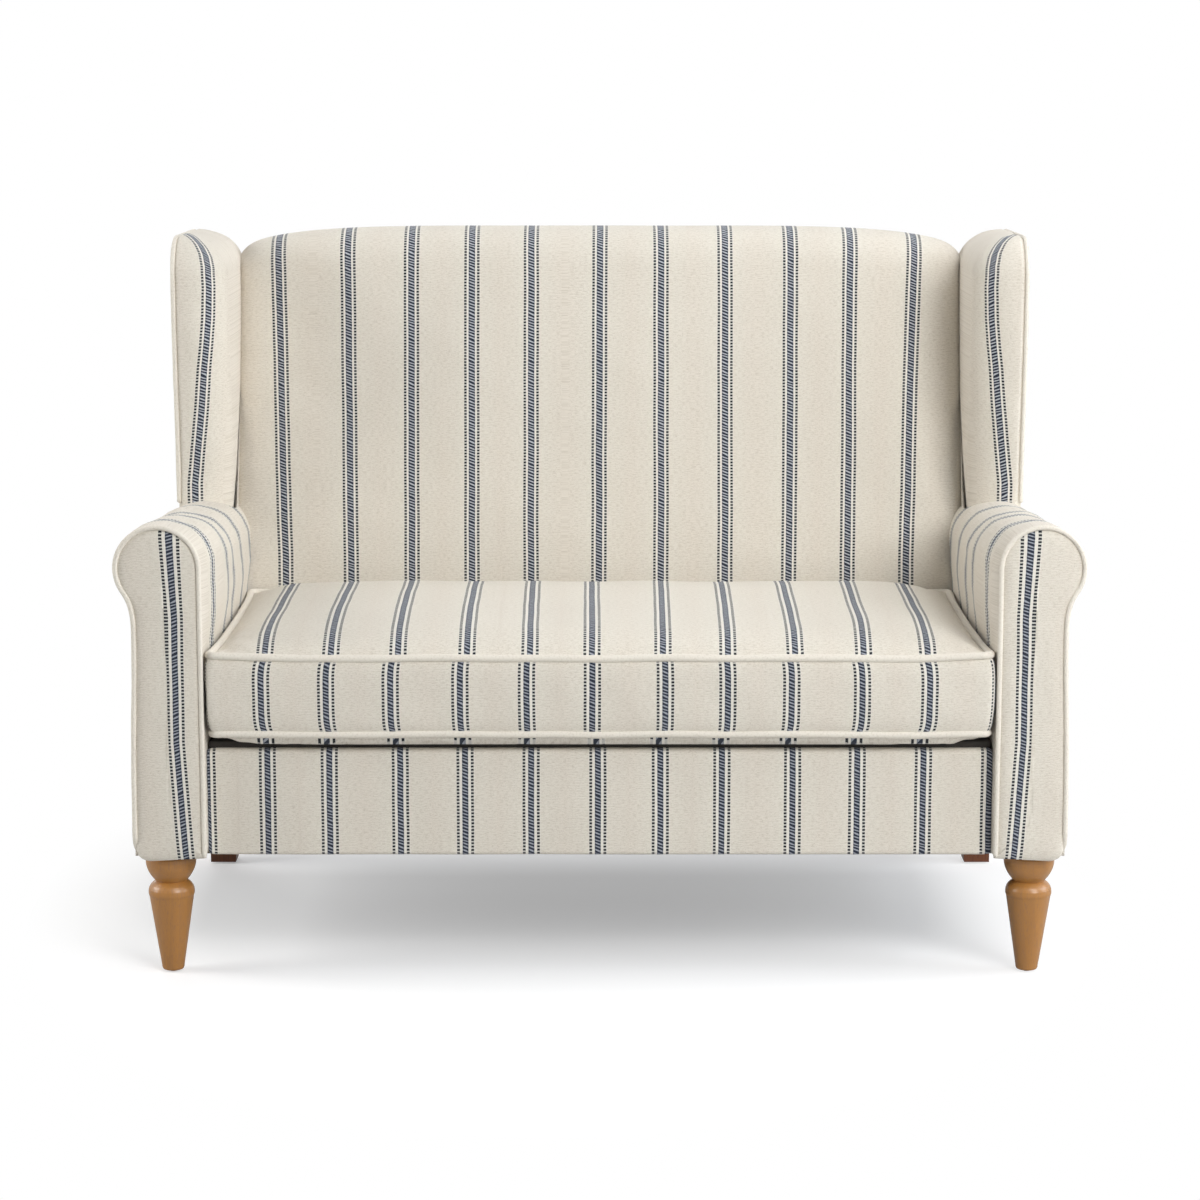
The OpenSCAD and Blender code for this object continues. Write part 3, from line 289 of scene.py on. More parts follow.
class Finish(Tree):
    """One material: a Principled shader and the nodes that feed it."""

    def __init__(self, name, colour=None, roughness=0.6, **uniform):
        self.material = bpy.data.materials.new(name)
        self.material.use_nodes = True
        super().__init__(self.material.node_tree)
        self.shader = next(n for n in self.nodes if n.type == "BSDF_PRINCIPLED")
        self.shader.inputs["Roughness"].default_value = roughness
        if colour is not None:
            self.shader.inputs["Base Color"].default_value = tuple(colour)
            self.material.diffuse_color = tuple(colour)
        for key, value in uniform.items():
            self.shader.inputs[key.replace("_", " ").title().replace("Ior", "IOR")].default_value = value

    def mix(self, share, first, second):
        """Mixes two colours by a share, through a Mix node."""
        return self.add("ShaderNodeMix", {"data_type": "RGBA", "clamp_factor": True},
                        {0: share, 6: first, 7: second}, out=2)

    def noise(self, vector, detail=2.0, roughness=0.5, distortion=0.0):
        """Uneven values between about 0.2 and 0.8 over a vector that is already scaled."""
        return self.add("ShaderNodeTexNoise", {"noise_dimensions": "3D"}, {
            "Vector": vector, "Scale": 1.0, "Detail": detail, "Roughness": roughness,
            "Distortion": distortion})

    def place(self, scale=(1, 1, 1), rotation=(0, 0, 0), source=None):
        """Object coordinates, or a given vector, scaled and turned."""
        vector = source or self.add("ShaderNodeTexCoord", out="Object")
        return self.add("ShaderNodeMapping", None, {"Vector": vector, "Scale": scale, "Rotation": rotation})

    def split(self, vector):
        """The three parts of a vector."""
        first = self.add("ShaderNodeSeparateXYZ", None, {0: vector})
        return [Value(self, socket) for socket in first.socket.node.outputs]

    def join(self, x, y, z=0.0):
        """A vector from its three parts."""
        return self.add("ShaderNodeCombineXYZ", None, {0: x, 1: y, 2: z})

    def paint(self, colour, roughness, height, depth, strength=1.0):
        """Feeds the shader's Base Color, Roughness and, through Bump, Normal."""
        bump = self.add("ShaderNodeBump", None, {"Strength": strength, "Distance": depth, "Height": height})
        for key, value in (("Base Color", colour), ("Roughness", roughness), ("Normal", bump)):
            self.links.new(value.socket, self.shader.inputs[key])
        return self.material


FINISHES = {}
# Thick yarns of the cream cloth, and a black strip along the platform's front: painted shade for the dark
# line under the cushion
SLUB_BROWN = (0.46, 0.40, 0.31, 1)
SHADE_STRIP_BLACK = (0.040, 0.036, 0.032, 1)
SHADE_STRIP_DEPTH = 0.080


def finish(name):
    """The material of that name, made once."""
    if name not in FINISHES:
        FINISHES[name] = RECIPES[name](bpy.context.scene.settee_sizes, bpy.context.scene.settee_colours)
    return FINISHES[name]


def woven(u, v, thread):
    """Height of a plain weave with threads that far apart: two crossed rows of half round threads."""
    across = abs((u / thread).fraction() - 0.5)
    along = abs((v / thread).fraction() - 0.5)
    return 1.0 - (across * across + along * along) * 2.0


def striped_cloth(sizes, colours, name="striped_cloth", half=0.0043, glimpse=(0.30, 0.325, 0.385, 1)):
    """Cream ribbed cloth with blue ladder bands, each between two dotted lines. The cloth's own map gives
    the number of stripes across and metres along them. A band is twice half wide, and glimpse is the
    light thread between its rungs."""
    thread_at, thread_half, white_half = 0.0102, 0.0020, 0.0130
    rung_pitch, rib_pitch, weave_pitch = 0.0049, 0.0023, 0.00105
    f = Finish(name, roughness=0.86, sheen_weight=0.10, sheen_roughness=0.5)
    pitch = sizes.stripe_pitch
    number, along, _ = f.split(f.add("ShaderNodeUVMap", {"uv_map": UV}))
    metres = f.join(number * pitch, along)
    wander = (f.noise(f.place((14, 9, 1), source=metres), 1.0) - 0.5) * 0.0016
    yarn = (f.noise(f.place((300, 260, 1), source=metres), 1.0) - 0.5) * 0.0006
    cell = (number + 0.5).fraction() - 0.5
    d = cell * pitch + wander + yarn
    side = abs(d)
    # tones of the ground, its ribs, slubs and flecks
    warmth = abs(cell).below(0.32, 0.30)
    cloudy = f.noise(f.place((38, 1.2, 1), source=metres), 2.0)
    slub = f.noise(f.place((150, 620, 1), source=metres), 3.0, 0.65)
    fleck = f.noise(f.place((480, 760, 1), source=metres), 2.0, 0.6)
    rib = (along * (2 * math.pi / rib_pitch) + (slub - 0.5) * 7.0 + cell * 3.0).sine() * 0.5
    base = f.mix((1.0 - warmth) * 0.55 + cloudy * 0.45, tuple(colours.ground), tuple(colours.warm))
    base = f.mix(slub.below(0.45, 0.18) * 0.34 + (0.5 - rib) * 0.10, base, SLUB_BROWN)
    base = f.mix(fleck.below(0.38, 0.10) * 0.32, base, (0.34, 0.28, 0.20, 1))
    base = f.mix(side.below(white_half, 0.0020) * 0.45, base, tuple(colours.white))
    # ladder band: slanted rungs between two dark edges
    shake = (f.noise(f.place((1, 90, 1), source=metres), 1.0) - 0.5) * 1.2
    slant = along / rung_pitch + d * 75.0 + shake
    rung = abs(slant.fraction() - 0.5).below(0.31, 0.06)
    edge = abs(side - half + 0.0010).below(0.0007, 0.0006)
    band = side.below(half, 0.0004)
    base = f.mix(band * 0.90, base, glimpse)
    base = f.mix(band * rung.math("MAXIMUM", edge * 0.40), base, tuple(colours.blue))
    # dotted threads, one on each side of the band
    beat = (along / rung_pitch + number.math("SIGN") * 0.3 + yarn * 300.0).fraction()
    thread = abs(side - thread_at).below(thread_half, 0.0003)
    dot = abs(beat - 0.5).below(0.29, 0.05) * thread
    base = f.mix(thread * 0.30, base, (0.16, 0.165, 0.17, 1))
    base = f.mix(dot, base, tuple(colours.dots))
    weave = woven(number * pitch, along, weave_pitch)
    height = rib * 0.5 + weave * 0.35 + slub * 0.9 + fleck * 0.6 + (band * rung + dot) * 0.5
    return f.paint(base, 0.80 + slub * 0.14, height, depth=0.00042, strength=0.85)


def plain_cloth(sizes, colours):
    """The ground cloth cut on the bias round a cord: the weave runs slantwise round the welt."""
    f = Finish("welt_cloth", roughness=0.86, sheen_weight=0.12, sheen_roughness=0.5)
    u, v, _ = f.split(f.add("ShaderNodeUVMap", {"uv_map": UV}))
    metres = f.join(u, v)
    slub = f.noise(f.place((300, 300, 1), (0, 0, 0.8), metres), 3.0, 0.6)
    cloudy = f.noise(f.place((6, 9, 1), source=metres), 2.0)
    base = f.mix(cloudy, tuple(colours.ground), tuple(colours.warm))
    base = f.mix(slub.below(0.42, 0.16) * 0.26, base, SLUB_BROWN)
    weave = woven(u + v, u - v, 0.0015)
    return f.paint(base, 0.80 + slub * 0.14, weave * 0.5 + slub, depth=0.0003, strength=0.7)


def lining_cloth(name, colour, dark, thread=0.0022, depth=0.0004, lip=None):
    """A plain woven lining in one colour on Object coordinates. In front of a given depth it is a black
    strip, painted shade for the dark line under the cushion's front.
    """
    f = Finish(name, roughness=0.9)
    x, y, z = f.split(f.place())
    fuzz = f.noise(f.place((160, 160, 160)), 3.0, 0.6)
    weave = woven(x + z * 0.3, y + z, thread)
    base = f.mix(fuzz.below(0.48, 0.25) * 0.6 + (1.0 - weave) * 0.3, colour, dark)
    if lip is not None:
        # painted shade: a black strip along the platform's front, where the cushion's overhang shades it
        base = f.mix(y.below(lip, 0.0004), base, SHADE_STRIP_BLACK)
    return f.paint(base, 0.82 + fuzz * 0.12, weave * 0.7 + fuzz * 0.5, depth=depth)


def wood(name, colour, dark, coat, roughness, scale=1.0):
    """Straight grained wood along Z: long streaks, growth rings cut lengthwise, and short pores."""
    f = Finish(name, roughness=roughness, coat_weight=coat, coat_roughness=0.16)
    streak = f.noise(f.place((34 * scale, 34 * scale, 2.2 * scale)), 4.0, 0.6, 0.6)
    ring = f.add("ShaderNodeTexWave", {"wave_type": "RINGS", "rings_direction": "Z", "wave_profile": "SAW"}, {
        "Vector": f.place((7 * scale, 7 * scale, 0.7 * scale), (0.12, 0.08, 0)), "Scale": 3.2,
        "Distortion": 3.4, "Detail": 2.0, "Detail Scale": 1.4})
    pore = f.noise(f.place((620 * scale, 620 * scale, 26 * scale)), 2.0, 0.55)
    tone = f.noise(f.place((5, 5, 3)), 1.0)
    base = f.mix(streak * 0.75 + (tone - 0.5) * 0.5, colour, tuple(0.72 * c for c in colour[:3]) + (1,))
    base = f.mix(ring * 0.30, base, dark)
    base = f.mix(pore.below(0.40, 0.10) * 0.55, base, dark)
    return f.paint(base, roughness + streak * 0.12, pore * 0.6 + streak * 0.3, depth=0.00012, strength=0.5)


def metal(name, colour, roughness, scratch=0.08):
    """Bare or plated metal with drawn scratches along its length."""
    f = Finish(name, roughness=roughness, metallic=1.0)
    drawn = f.noise(f.place((900, 40, 900)), 2.0, 0.6)
    stain = f.noise(f.place((18, 18, 18)), 2.0)
    base = f.mix(stain.below(0.55, 0.5) * 0.3, colour, tuple(0.6 * c for c in colour[:3]) + (1,))
    return f.paint(base, roughness + drawn * scratch + stain * 0.1, drawn, depth=0.00005, strength=0.4)


def fibre(name, colour, dark):
    """Needled felt or foam: matted fibres of every direction."""
    f = Finish(name, roughness=0.95)
    mat = f.noise(f.place((220, 220, 220)), 5.0, 0.7, 0.8)
    base = f.mix(mat.below(0.5, 0.3), colour, dark)
    return f.paint(base, 0.88 + mat * 0.1, mat, depth=0.0006)


def spunbond(sizes, colours):
    """Black spunbond: a pressed grid of small diamonds over random fibres."""
    f = Finish("dust_cloth", roughness=0.9)
    x, y, _ = f.split(f.place())
    diamond = 0.0024
    a = abs(((x + y) / diamond).fraction() - 0.5)
    b = abs(((x - y) / diamond).fraction() - 0.5)
    pressed = (a + b).below(0.35, 0.2)
    fuzz = f.noise(f.place((260, 260, 260)), 3.0, 0.6)
    base = f.mix(pressed * 0.5 + fuzz * 0.3, (0.022, 0.022, 0.023, 1), (0.05, 0.05, 0.05, 1))
    return f.paint(base, 0.75 + fuzz * 0.2, fuzz - pressed * 0.5, depth=0.0003)


def zip_tape(sizes, colours):
    """Woven tape with the closed coil of the zip along its middle."""
    f = Finish("zip_tape", roughness=0.7)
    coil_pitch, coil_half = 0.0016, 0.0026
    x, _, z = f.split(f.place())
    low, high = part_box("cushion_zip")
    coil = abs((x / coil_pitch).fraction() - 0.5).below(0.3, 0.15)
    middle = abs(z - float(low[2] + high[2]) / 2).below(coil_half, 0.0004)
    weave = woven(x, z, 0.0009)
    base = f.mix(middle * coil, (0.62, 0.57, 0.47, 1), (0.42, 0.38, 0.30, 1))
    return f.paint(base, 0.75 - middle * 0.3, weave * (1.0 - middle) * 0.4 + middle * coil, depth=0.0004)


def lining(name, colour, dark, **sizes_of_weave):
    """A recipe for a lining in two fixed colours."""
    return lambda sizes, colours: lining_cloth(name, (*colour, 1), (*dark, 1), **sizes_of_weave)


def bare_metal(name, colour, roughness):
    """A recipe for a metal of one fixed colour."""
    return lambda sizes, colours: metal(name, (*colour, 1), roughness)


def matted(name, colour, dark):
    """A recipe for felt or foam in two fixed colours."""
    return lambda sizes, colours: fibre(name, (*colour, 1), (*dark, 1))


RECIPES = {
    "stripe_cover": striped_cloth,
    "back_cover": lambda s, c: striped_cloth(s, c, "back_cloth", half=0.0051, glimpse=(0.46, 0.485, 0.53, 1)),
    "plain_welt": plain_cloth,
    # the platform's front strip is painted black as the shade under the cushion's front
    "deck_cloth": lining("deck_cloth", (0.66, 0.60, 0.48), (0.50, 0.44, 0.33), lip=FRONT + SHADE_STRIP_DEPTH),
    "webbing": lining("webbing", (0.30, 0.21, 0.11), (0.16, 0.10, 0.05), thread=0.004, depth=0.0012),
    "light_wood": lambda s, c: wood("light_wood", tuple(c.light_wood), (0.30, 0.145, 0.055, 1), 0.35, 0.34),
    # the rear legs' wood is partly stained dark and partly darkened as painted shade under the seat
    "dark_wood": lambda s, c: wood("dark_wood", tuple(c.dark_wood), (0.08, 0.025, 0.010, 1), 0.35, 0.36),
    "timber": lambda s, c: wood("timber", (0.50, 0.33, 0.18, 1), (0.34, 0.20, 0.10, 1), 0.0, 0.68, 0.6),
    "spring_steel": bare_metal("spring_steel", (0.20, 0.20, 0.21), 0.42),
    "plated_steel": bare_metal("plated_steel", (0.58, 0.59, 0.58), 0.30),
    "glide_steel": bare_metal("glide_steel", (0.66, 0.65, 0.62), 0.22),
    "insert_brass": bare_metal("insert_brass", (0.65, 0.46, 0.18), 0.30),
    "zip_metal": bare_metal("zip_metal", (0.55, 0.50, 0.40), 0.35),
    "felt": matted("felt", (0.42, 0.40, 0.36), (0.22, 0.21, 0.20)),
    "foam": matted("foam", (0.78, 0.72, 0.52), (0.62, 0.55, 0.36)),
    "dust_cloth": spunbond,
    "zip_nylon": zip_tape,
}


# Surfaces worked out on grids


class Pattern:
    """Collects grids of points, joined by quads, into one mesh with the cloth's map."""

    def __init__(self):
        self.points, self.faces, self.maps, self.count = [], [], [], 0

    def grid(self, p, uv, wrap=False):
        """p[i, j] is a point at row i, column j. With wrap the last column joins the first, and uv has
        one column more."""
        n, m = p.shape[:2]
        index = self.count + np.arange(n * m).reshape(n, m)
        if wrap:
            index = np.concatenate([index, index[:, :1]], axis=1)

        def corners(a):
            return np.stack([a[:-1, :-1], a[1:, :-1], a[1:, 1:], a[:-1, 1:]], axis=2)

        self.faces += corners(index).reshape(-1, 4).tolist()
        self.maps.append(corners(uv).reshape(-1, 2))
        self.points.append(p.reshape(-1, 3))
        self.count += n * m
        return self

    def cap(self, ring, uv):
        """A fan from a closed ring of points to its centre."""
        n = len(ring)
        index = self.count + np.arange(n)
        after = np.roll(index, -1)
        self.faces += np.stack([index, after, np.full(n, self.count + n)], axis=1).tolist()
        middle = np.broadcast_to(uv.mean(axis=0), uv.shape)
        self.maps.append(np.stack([uv, np.roll(uv, -1, axis=0), middle], axis=1).reshape(-1, 2))
        self.points.append(np.vstack([ring, ring.mean(axis=0)]))
        self.count += n + 1
        return self

    def piece(self, name, finish_name, body="root", replaces=(), closed=True, slot=None):
        """The mesh as an object: doubles merged, faces turned outward, smooth, finished and riding."""
        mesh = bpy.data.meshes.new(name)
        mesh.from_pydata(np.concatenate(self.points).tolist(), [], self.faces)
        layer = mesh.uv_layers.new(name=UV)
        layer.data.foreach_set("uv", np.concatenate(self.maps).astype(np.float32).ravel())
        bm = bmesh.new()
        bm.from_mesh(mesh)
        bmesh.ops.remove_doubles(bm, verts=bm.verts, dist=2e-6)
        bmesh.ops.dissolve_degenerate(bm, edges=bm.edges, dist=1e-7)
        if closed:
            bmesh.ops.recalc_face_normals(bm, faces=bm.faces)
        bm.to_mesh(mesh)
        bm.free()
        mesh.polygons.foreach_set("use_smooth", np.ones(len(mesh.polygons), dtype=bool))
        mesh.update()
        return dress(bpy.data.objects.new(name, mesh), finish_name, body, replaces)


def swept(p, uv):
    """A closed sweep: the sections p[i] wrapped round and joined, capped at the first and the last. A map
    as wide as p gets its first column again at the end."""
    if uv.shape[1] == p.shape[1]:
        uv = np.concatenate([uv, uv[:, :1]], axis=1)
    return Pattern().grid(p, uv, wrap=True).cap(p[0], uv[0, :-1]).cap(p[-1], uv[-1, :-1])


def backed(outer, inner, uv):
    """A cloth with a back to it: the two grids, joined along their four edges."""
    panel = Pattern().grid(outer, uv).grid(inner, uv)
    for at in (np.s_[0], np.s_[-1], np.s_[:, 0], np.s_[:, -1]):
        panel.grid(np.stack([outer[at], inner[at]]), np.stack([uv[at], uv[at]]))
    return panel


def dress(obj, finish_name, body="root", replaces=()):
    """Links a finished piece, gives it its material, its body and the nodes it stands for."""
    if obj.name not in bpy.context.scene.collection.objects:
        bpy.context.scene.collection.objects.link(obj)
    obj.data.materials.clear()
    obj.data.materials.append(finish(finish_name))
    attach(obj, body)
    if replaces:
        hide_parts(*replaces)
    return obj


def ripple(seed, x, y, scale, count=14):
    """Smooth uneven field of about unit height: a sum of sine waves whose directions, lengths near the
    given scale and starts come from a seeded generator."""
    rng = np.random.default_rng(seed)
    turn = rng.uniform(0, 2 * np.pi, count)
    wave = 2 * np.pi / scale * rng.uniform(0.55, 1.7, count)
    start = rng.uniform(0, 2 * np.pi, count)
    total = np.zeros(np.broadcast(x, y).shape)
    for a, k, s in zip(turn, wave, start):
        total += np.sin(k * (np.cos(a) * x + np.sin(a) * y) + s)
    return total / math.sqrt(count)


def ease(x, low, high):
    """0 below low, 1 above high, and the cubic 3t2 - 2t3 between."""
    t = np.clip((x - low) / (high - low), 0, 1)
    return t * t * (3 - 2 * t)


def stripes_at(x, places, pitch=0.1):
    """Number of the stripe at x, where stripe k lies at places[k]: the sum of ramps that each rise by one
    between two neighbours, the first and the last running on outside. Near a stripe the number is k plus
    the true distance over the pitch, so that every stripe keeps its width."""
    total = np.zeros(np.shape(x))
    last = len(places) - 2
    for k in range(last + 1):
        ramp = (x - places[k]) / (places[k + 1] - places[k])
        total = total + np.clip(ramp, -np.inf if k == 0 else 0, np.inf if k == last else 1)
    nearest = np.clip(np.round(total), 0, last + 1).astype(int)
    table = np.stack([np.broadcast_to(place, total.shape) for place in places])
    here = np.take_along_axis(table, nearest[None], axis=0)[0]
    return nearest + np.clip((x - here) / pitch, -0.5, 0.5)


def between(first, second, share):
    """The places of the stripes, a share of the way from one row of places to another."""
    return [a + (b - a) * share for a, b in zip(first, second)]


def arc(centre, radius, first, last, n):
    """Points on a circle round the centre between two angles in degrees."""
    t = np.radians(np.linspace(first, last, n))
    return np.stack([centre[0] + radius * np.cos(t), centre[1] + radius * np.sin(t)], axis=1)


def cubic(p, n):
    """Points of a cubic curve with four control points."""
    t = np.linspace(0, 1, n)[:, None]
    p = np.asarray(p, dtype=float)
    s = 1 - t
    return s ** 3 * p[0] + 3 * s * s * t * p[1] + 3 * s * t * t * p[2] + t ** 3 * p[3]


def line(a, b, n):
    """Points evenly along a straight line."""
    t = np.linspace(0, 1, n)[:, None]
    return np.asarray(a, dtype=float) * (1 - t) + np.asarray(b, dtype=float) * t


def chain(*parts):
    """Pieces of an outline end to end, without the doubled points between them."""
    out = [parts[0]]
    for part in parts[1:]:
        out.append(part[1:])
    return np.concatenate(out)


def lengths(p, closed=False):
    """Distance run along a line of points, from its first."""
    step = np.linalg.norm(np.diff(p, axis=0, append=p[:1] if closed else p[-1:]), axis=1)
    return np.concatenate([[0], np.cumsum(step)])[: len(p) + (1 if closed else 0)]


def even(p, n, closed=False):
    """n points at even distances along a line, or round a closed one."""
    q = np.vstack([p, p[:1]]) if closed else p
    run = lengths(q)
    at = np.linspace(0, run[-1], n + 1)[:-1] if closed else np.linspace(0, run[-1], n)
    return np.stack([np.interp(at, run, q[:, k]) for k in range(q.shape[1])], axis=1)


def heading(p, closed):
    """Unit directions of a line of points, from the neighbours of each."""
    t = np.roll(p, -1, axis=0) - np.roll(p, 1, axis=0) if closed else np.gradient(p, axis=0)
    return t / np.linalg.norm(t, axis=1, keepdims=True)


def sides(p, closed=True):
    """Unit normals to the left of a plane line of points."""
    t = heading(p, closed)
    return np.stack([-t[:, 1], t[:, 0]], axis=1)


def tube(p, radius, up, closed=True, around=16, uneven=0.0, seed=1):
    """A cord round the path p: at each point a circle square to the path, its radius varied by a slow
    ripple. Its ends are closed by small domes."""
    t = heading(p, closed)
    side = np.cross(np.asarray(up, dtype=float), t)
    side /= np.linalg.norm(side, axis=1, keepdims=True)
    top = np.cross(t, side)
    run = lengths(p, closed)
    r = radius * (1 + uneven * ripple(seed, run[: len(p)], 0.0, 0.09))
    if not closed:
        end = np.minimum(run, run[-1] - run) / radius
        r = r * np.sqrt(np.clip(1 - (1 - np.clip(end, 0, 1)) ** 2, 0.02, 1))
    angle = np.linspace(0, 2 * np.pi, around, endpoint=False)
    ring = p[:, None] + r[:, None, None] * (
        np.cos(angle)[None, :, None] * side[:, None] + np.sin(angle)[None, :, None] * top[:, None])
    lap = np.linspace(0, 2 * np.pi * radius, around + 1)
    uv = np.stack(np.broadcast_arrays(lap[None, :], run[:, None]), axis=2)
    if closed:
        return Pattern().grid(np.concatenate([ring, ring[:1]]), uv, wrap=True)
    return swept(ring, uv)


def mirror(p):
    """The same points on the other side of the middle."""
    return p * np.array([-1.0, 1.0, 1.0])


# The settee's own lines


class Lines:
    """The lines that the covers follow, worked out from the sizes."""

    def __init__(self, sizes):
        self.s = sizes
        self.arm_in = sizes.seat_half
        self.arm_out = self.arm_in + sizes.arm_width
        self.scroll_x = self.arm_in + sizes.scroll_radius
        self.tan = math.tan(sizes.lean)
        self.top = float(CAD_HIGH[2])
        self.roll_z = self.top - sizes.back_roll
        # thickness of the outside panels, flare of the arms at the foot, drop of the facings' foot corners
        self.panel, self.flare, self.foot_drop = 0.005, 0.005, 0.004
        self.arm_end = self.rear(sizes.arm_height) - 0.008
        self.slope = sizes.arm_fall / self.arm_end
        self.leg_top = float(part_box("front_leg_right")[1][2])
        self.platform = float(SEAT_LOW[2])
        # the inside back stands upright at seat_rear up to lean_z, where its lean begins
        self.lean_z = 0.480
        self.seat_rear = self.rear(self.lean_z) - 0.183

    def rear(self, z):
        """Depth of the outside back at a height."""
        return float(CAD_HIGH[1]) - FRONT - (self.roll_z - z) * self.tan

    def scroll_z(self, depth):
        """Height of the middle of the scroll at a depth."""
        return self.s.arm_height - self.s.scroll_radius - depth * self.slope

    def scroll(self, n_arc=56, n_neck=20):
        """The scroll round its middle: up the inner side, over the top, under it and into the waist."""
        r, last = self.s.scroll_radius, -35
        c = np.array([self.scroll_x, 0.0])
        neck = np.array([self.arm_out, -self.s.neck_drop])
        turn = math.radians(last)
        tip = c + r * np.array([math.cos(turn), math.sin(turn)])
        pull = 0.36 * r
        onward = pull * np.array([math.sin(turn), -math.cos(turn)])
        under = cubic([tip, tip + onward, neck + [0, pull], neck], n_neck)
        return chain(arc(c, r, 180, last, n_arc), under)

    def facing(self, n):
        """The outline of an arm's end seen from the front, clockwise from its inner foot, in n even
        steps: up the inner side, round the scroll and down a flared side to a rounded foot."""
        zc, foot_r = self.scroll_z(0), 0.026
        low = self.leg_top - self.foot_drop
        foot = np.array([self.arm_out + self.flare - foot_r, low + foot_r])
        neck = np.array([self.arm_out, zc - self.s.neck_drop])
        drop = [0, self.s.neck_drop]
        up = line([self.arm_in, self.leg_top], [self.arm_in, zc], 60)
        down = cubic([neck, neck - drop, neck + [self.flare, 0] - drop, foot + [foot_r, 0]], 50)
        base = line([foot[0], low], [self.arm_in, self.leg_top], 16)
        outline = chain(up, self.scroll() + [0, zc], down, arc(foot, foot_r, 0, -90, 12), base)
        return even(outline[:-1], n, closed=True)

    def wing(self):
        """The outline of a wing in depth and height, clockwise seen from outside: its points, the
        outward normals, how far each point follows a move inward, and the first point of the rear
        corner, past which the outline follows no more."""
        s, r = self.s, 0.062
        foot_y, top_y = self.seat_rear - 0.070, self.seat_rear - 0.089
        top, low = self.top - 0.005, s.arm_height - s.arm_fall - s.scroll_radius
        c = np.array([top_y + r, top - r])
        d = np.array([self.rear(top - r) - self.panel - r, top - r])
        rear_foot = [self.rear(low) - self.panel, low]
        mid = (s.arm_height + c[1]) / 2
        foot = line([foot_y, low], [foot_y, s.arm_height], 16)
        front = cubic([[foot_y, s.arm_height], [foot_y - 0.0063, mid], [top_y, mid], [top_y, c[1]]], 60)
        first, second = arc(c, r, 180, 90, 26), arc(d, r, 90, 0, 22)
        crest = line(first[-1], second[0], 26)
        p = chain(foot, front, first, crest, second, line(second[-1], rear_foot, 40),
                  line(rear_foot, [foot_y, low], 24))[:-1]
        normal = sides(p)
        normal[:len(foot)] = [-1, 0]
        corner = len(chain(foot, front, first, crest))
        keep = np.zeros(len(p))
        keep[:corner] = 1
        keep[corner:corner + 21] = np.clip(np.linspace(90, 0, 22)[1:] / 32, 0, 1)
        return p, normal, keep, corner


def upright(xz, depth):
    """Points of a front view stood up at a depth: x, depth counted from the front, z."""
    return np.stack([xz[..., 0], np.broadcast_to(depth, xz[..., 0].shape) + FRONT, xz[..., 1]], axis=-1)


# Pieces


class SETTEE_OT_arms(bpy.types.Operator):
    """Covers of the two scroll arms: a section swept backward and downward along the arm"""

    bl_idname = "settee.arms"
    bl_label = "Arm covers"

    def execute(self, context):
        lines = Lines(context.scene.settee_sizes)
        for side, name in ((1, "right"), (-1, "left")):
            p, uv = self.cover(lines, side)
            piece = swept(p if side > 0 else mirror(p), uv).piece(
                f"arm_cover_{name}", "stripe_cover", replaces=[f"inside_arm_{name}"])
        return {"FINISHED"}

    def cover(self, lines, side):
        """Points and map of a right arm's cover. The section runs up the inner side and round the scroll,
        and its middle falls with the depth. Swell, soft unevenness and pulls move it along its normals."""
        start, low, inner = 0.0075, lines.leg_top + 0.004, 46
        rows = np.concatenate([start + 0.030 * np.linspace(0, 1, 14) ** 1.5,
                               start + np.linspace(0.040, 1, 150) * (lines.arm_end - start)])
        rows = np.unique(np.round(rows, 6))
        scroll = lines.scroll()
        zc = lines.scroll_z(rows)[:, None]
        x = np.concatenate([np.full(inner, lines.arm_in), scroll[1:, 0]])[None, :] + 0 * zc
        z = np.concatenate([low + (zc - low) * np.linspace(0, 1, inner), zc + scroll[None, 1:, 1]], axis=1)
        section = np.stack([x[0], z[0]], axis=1)
        normal = sides(section, closed=False)
        run = lengths(section)
        v = np.broadcast_to(run[None, :], x.shape)
        # the rear end is cut to the lean of the outside back
        rear_end = lines.rear(z) - lines.panel
        depth = start + (rows[:, None] - start) * (rear_end - start) / (lines.arm_end - start)
        # swell of the padding, the dip into the front seam and soft pulls behind it
        seam = np.exp(-(depth - start) / 0.009)
        high = ease(z, 0.47, 0.53) * (1 - ease(z, zc + 0.045, zc + 0.0635))
        swell = 0.0040 * high * ease(depth, 0.0, 0.05) * (x < lines.scroll_x)
        soft = 0.0009 * ripple(11 + side, depth * 0.7, v, 0.16)
        soft = soft + 0.00035 * ripple(31 + side, depth, v * 1.8, 0.05)
        pulls = 0.0007 * np.exp(-(depth - start) / 0.030) * ripple(51 + side, depth * 0.15, v, 0.022)
        out = swell + (soft + pulls) * (1 - seam) - 0.0022 * seam
        p = np.stack([x + normal[None, :, 0] * out, depth + FRONT, z + normal[None, :, 1] * out], axis=2)
        # heights where the stripes' three rows of places hold, as lengths up the section
        lower, upper, crest = 0.475 - low, 0.545 - low, run[np.argmax(section[:, 1])]
        up, over = ease(v, lower, upper), ease(v, upper, crest)
        places = [a + (b - a) * up + (c - b) * over for a, b, c in zip(ARM_LOW, ARM_INSIDE, ARM_CREST)]
        number = stripes_at(depth, places)
        # the first stripe is stretched where the cover is pulled over the front edge
        nearest = np.round(number)
        away = number - nearest
        number = nearest + away * np.where(nearest == 1, 0.62 + 0.38 * ease(np.abs(away), 0.2, 0.5), 1)
        uv = np.stack([number, v], axis=2)
        # the hidden return through the padding closes the cover
        back_x = np.full(len(rows), lines.arm_out - 0.010)
        returns = [np.stack([back_x, p[:, i, 1], p[:, i, 2]], axis=1)[:, None] for i in (-1, 0)]
        return np.concatenate([p, *returns], axis=1), np.concatenate([uv] + [uv[:, -1:]] * 3, axis=1)


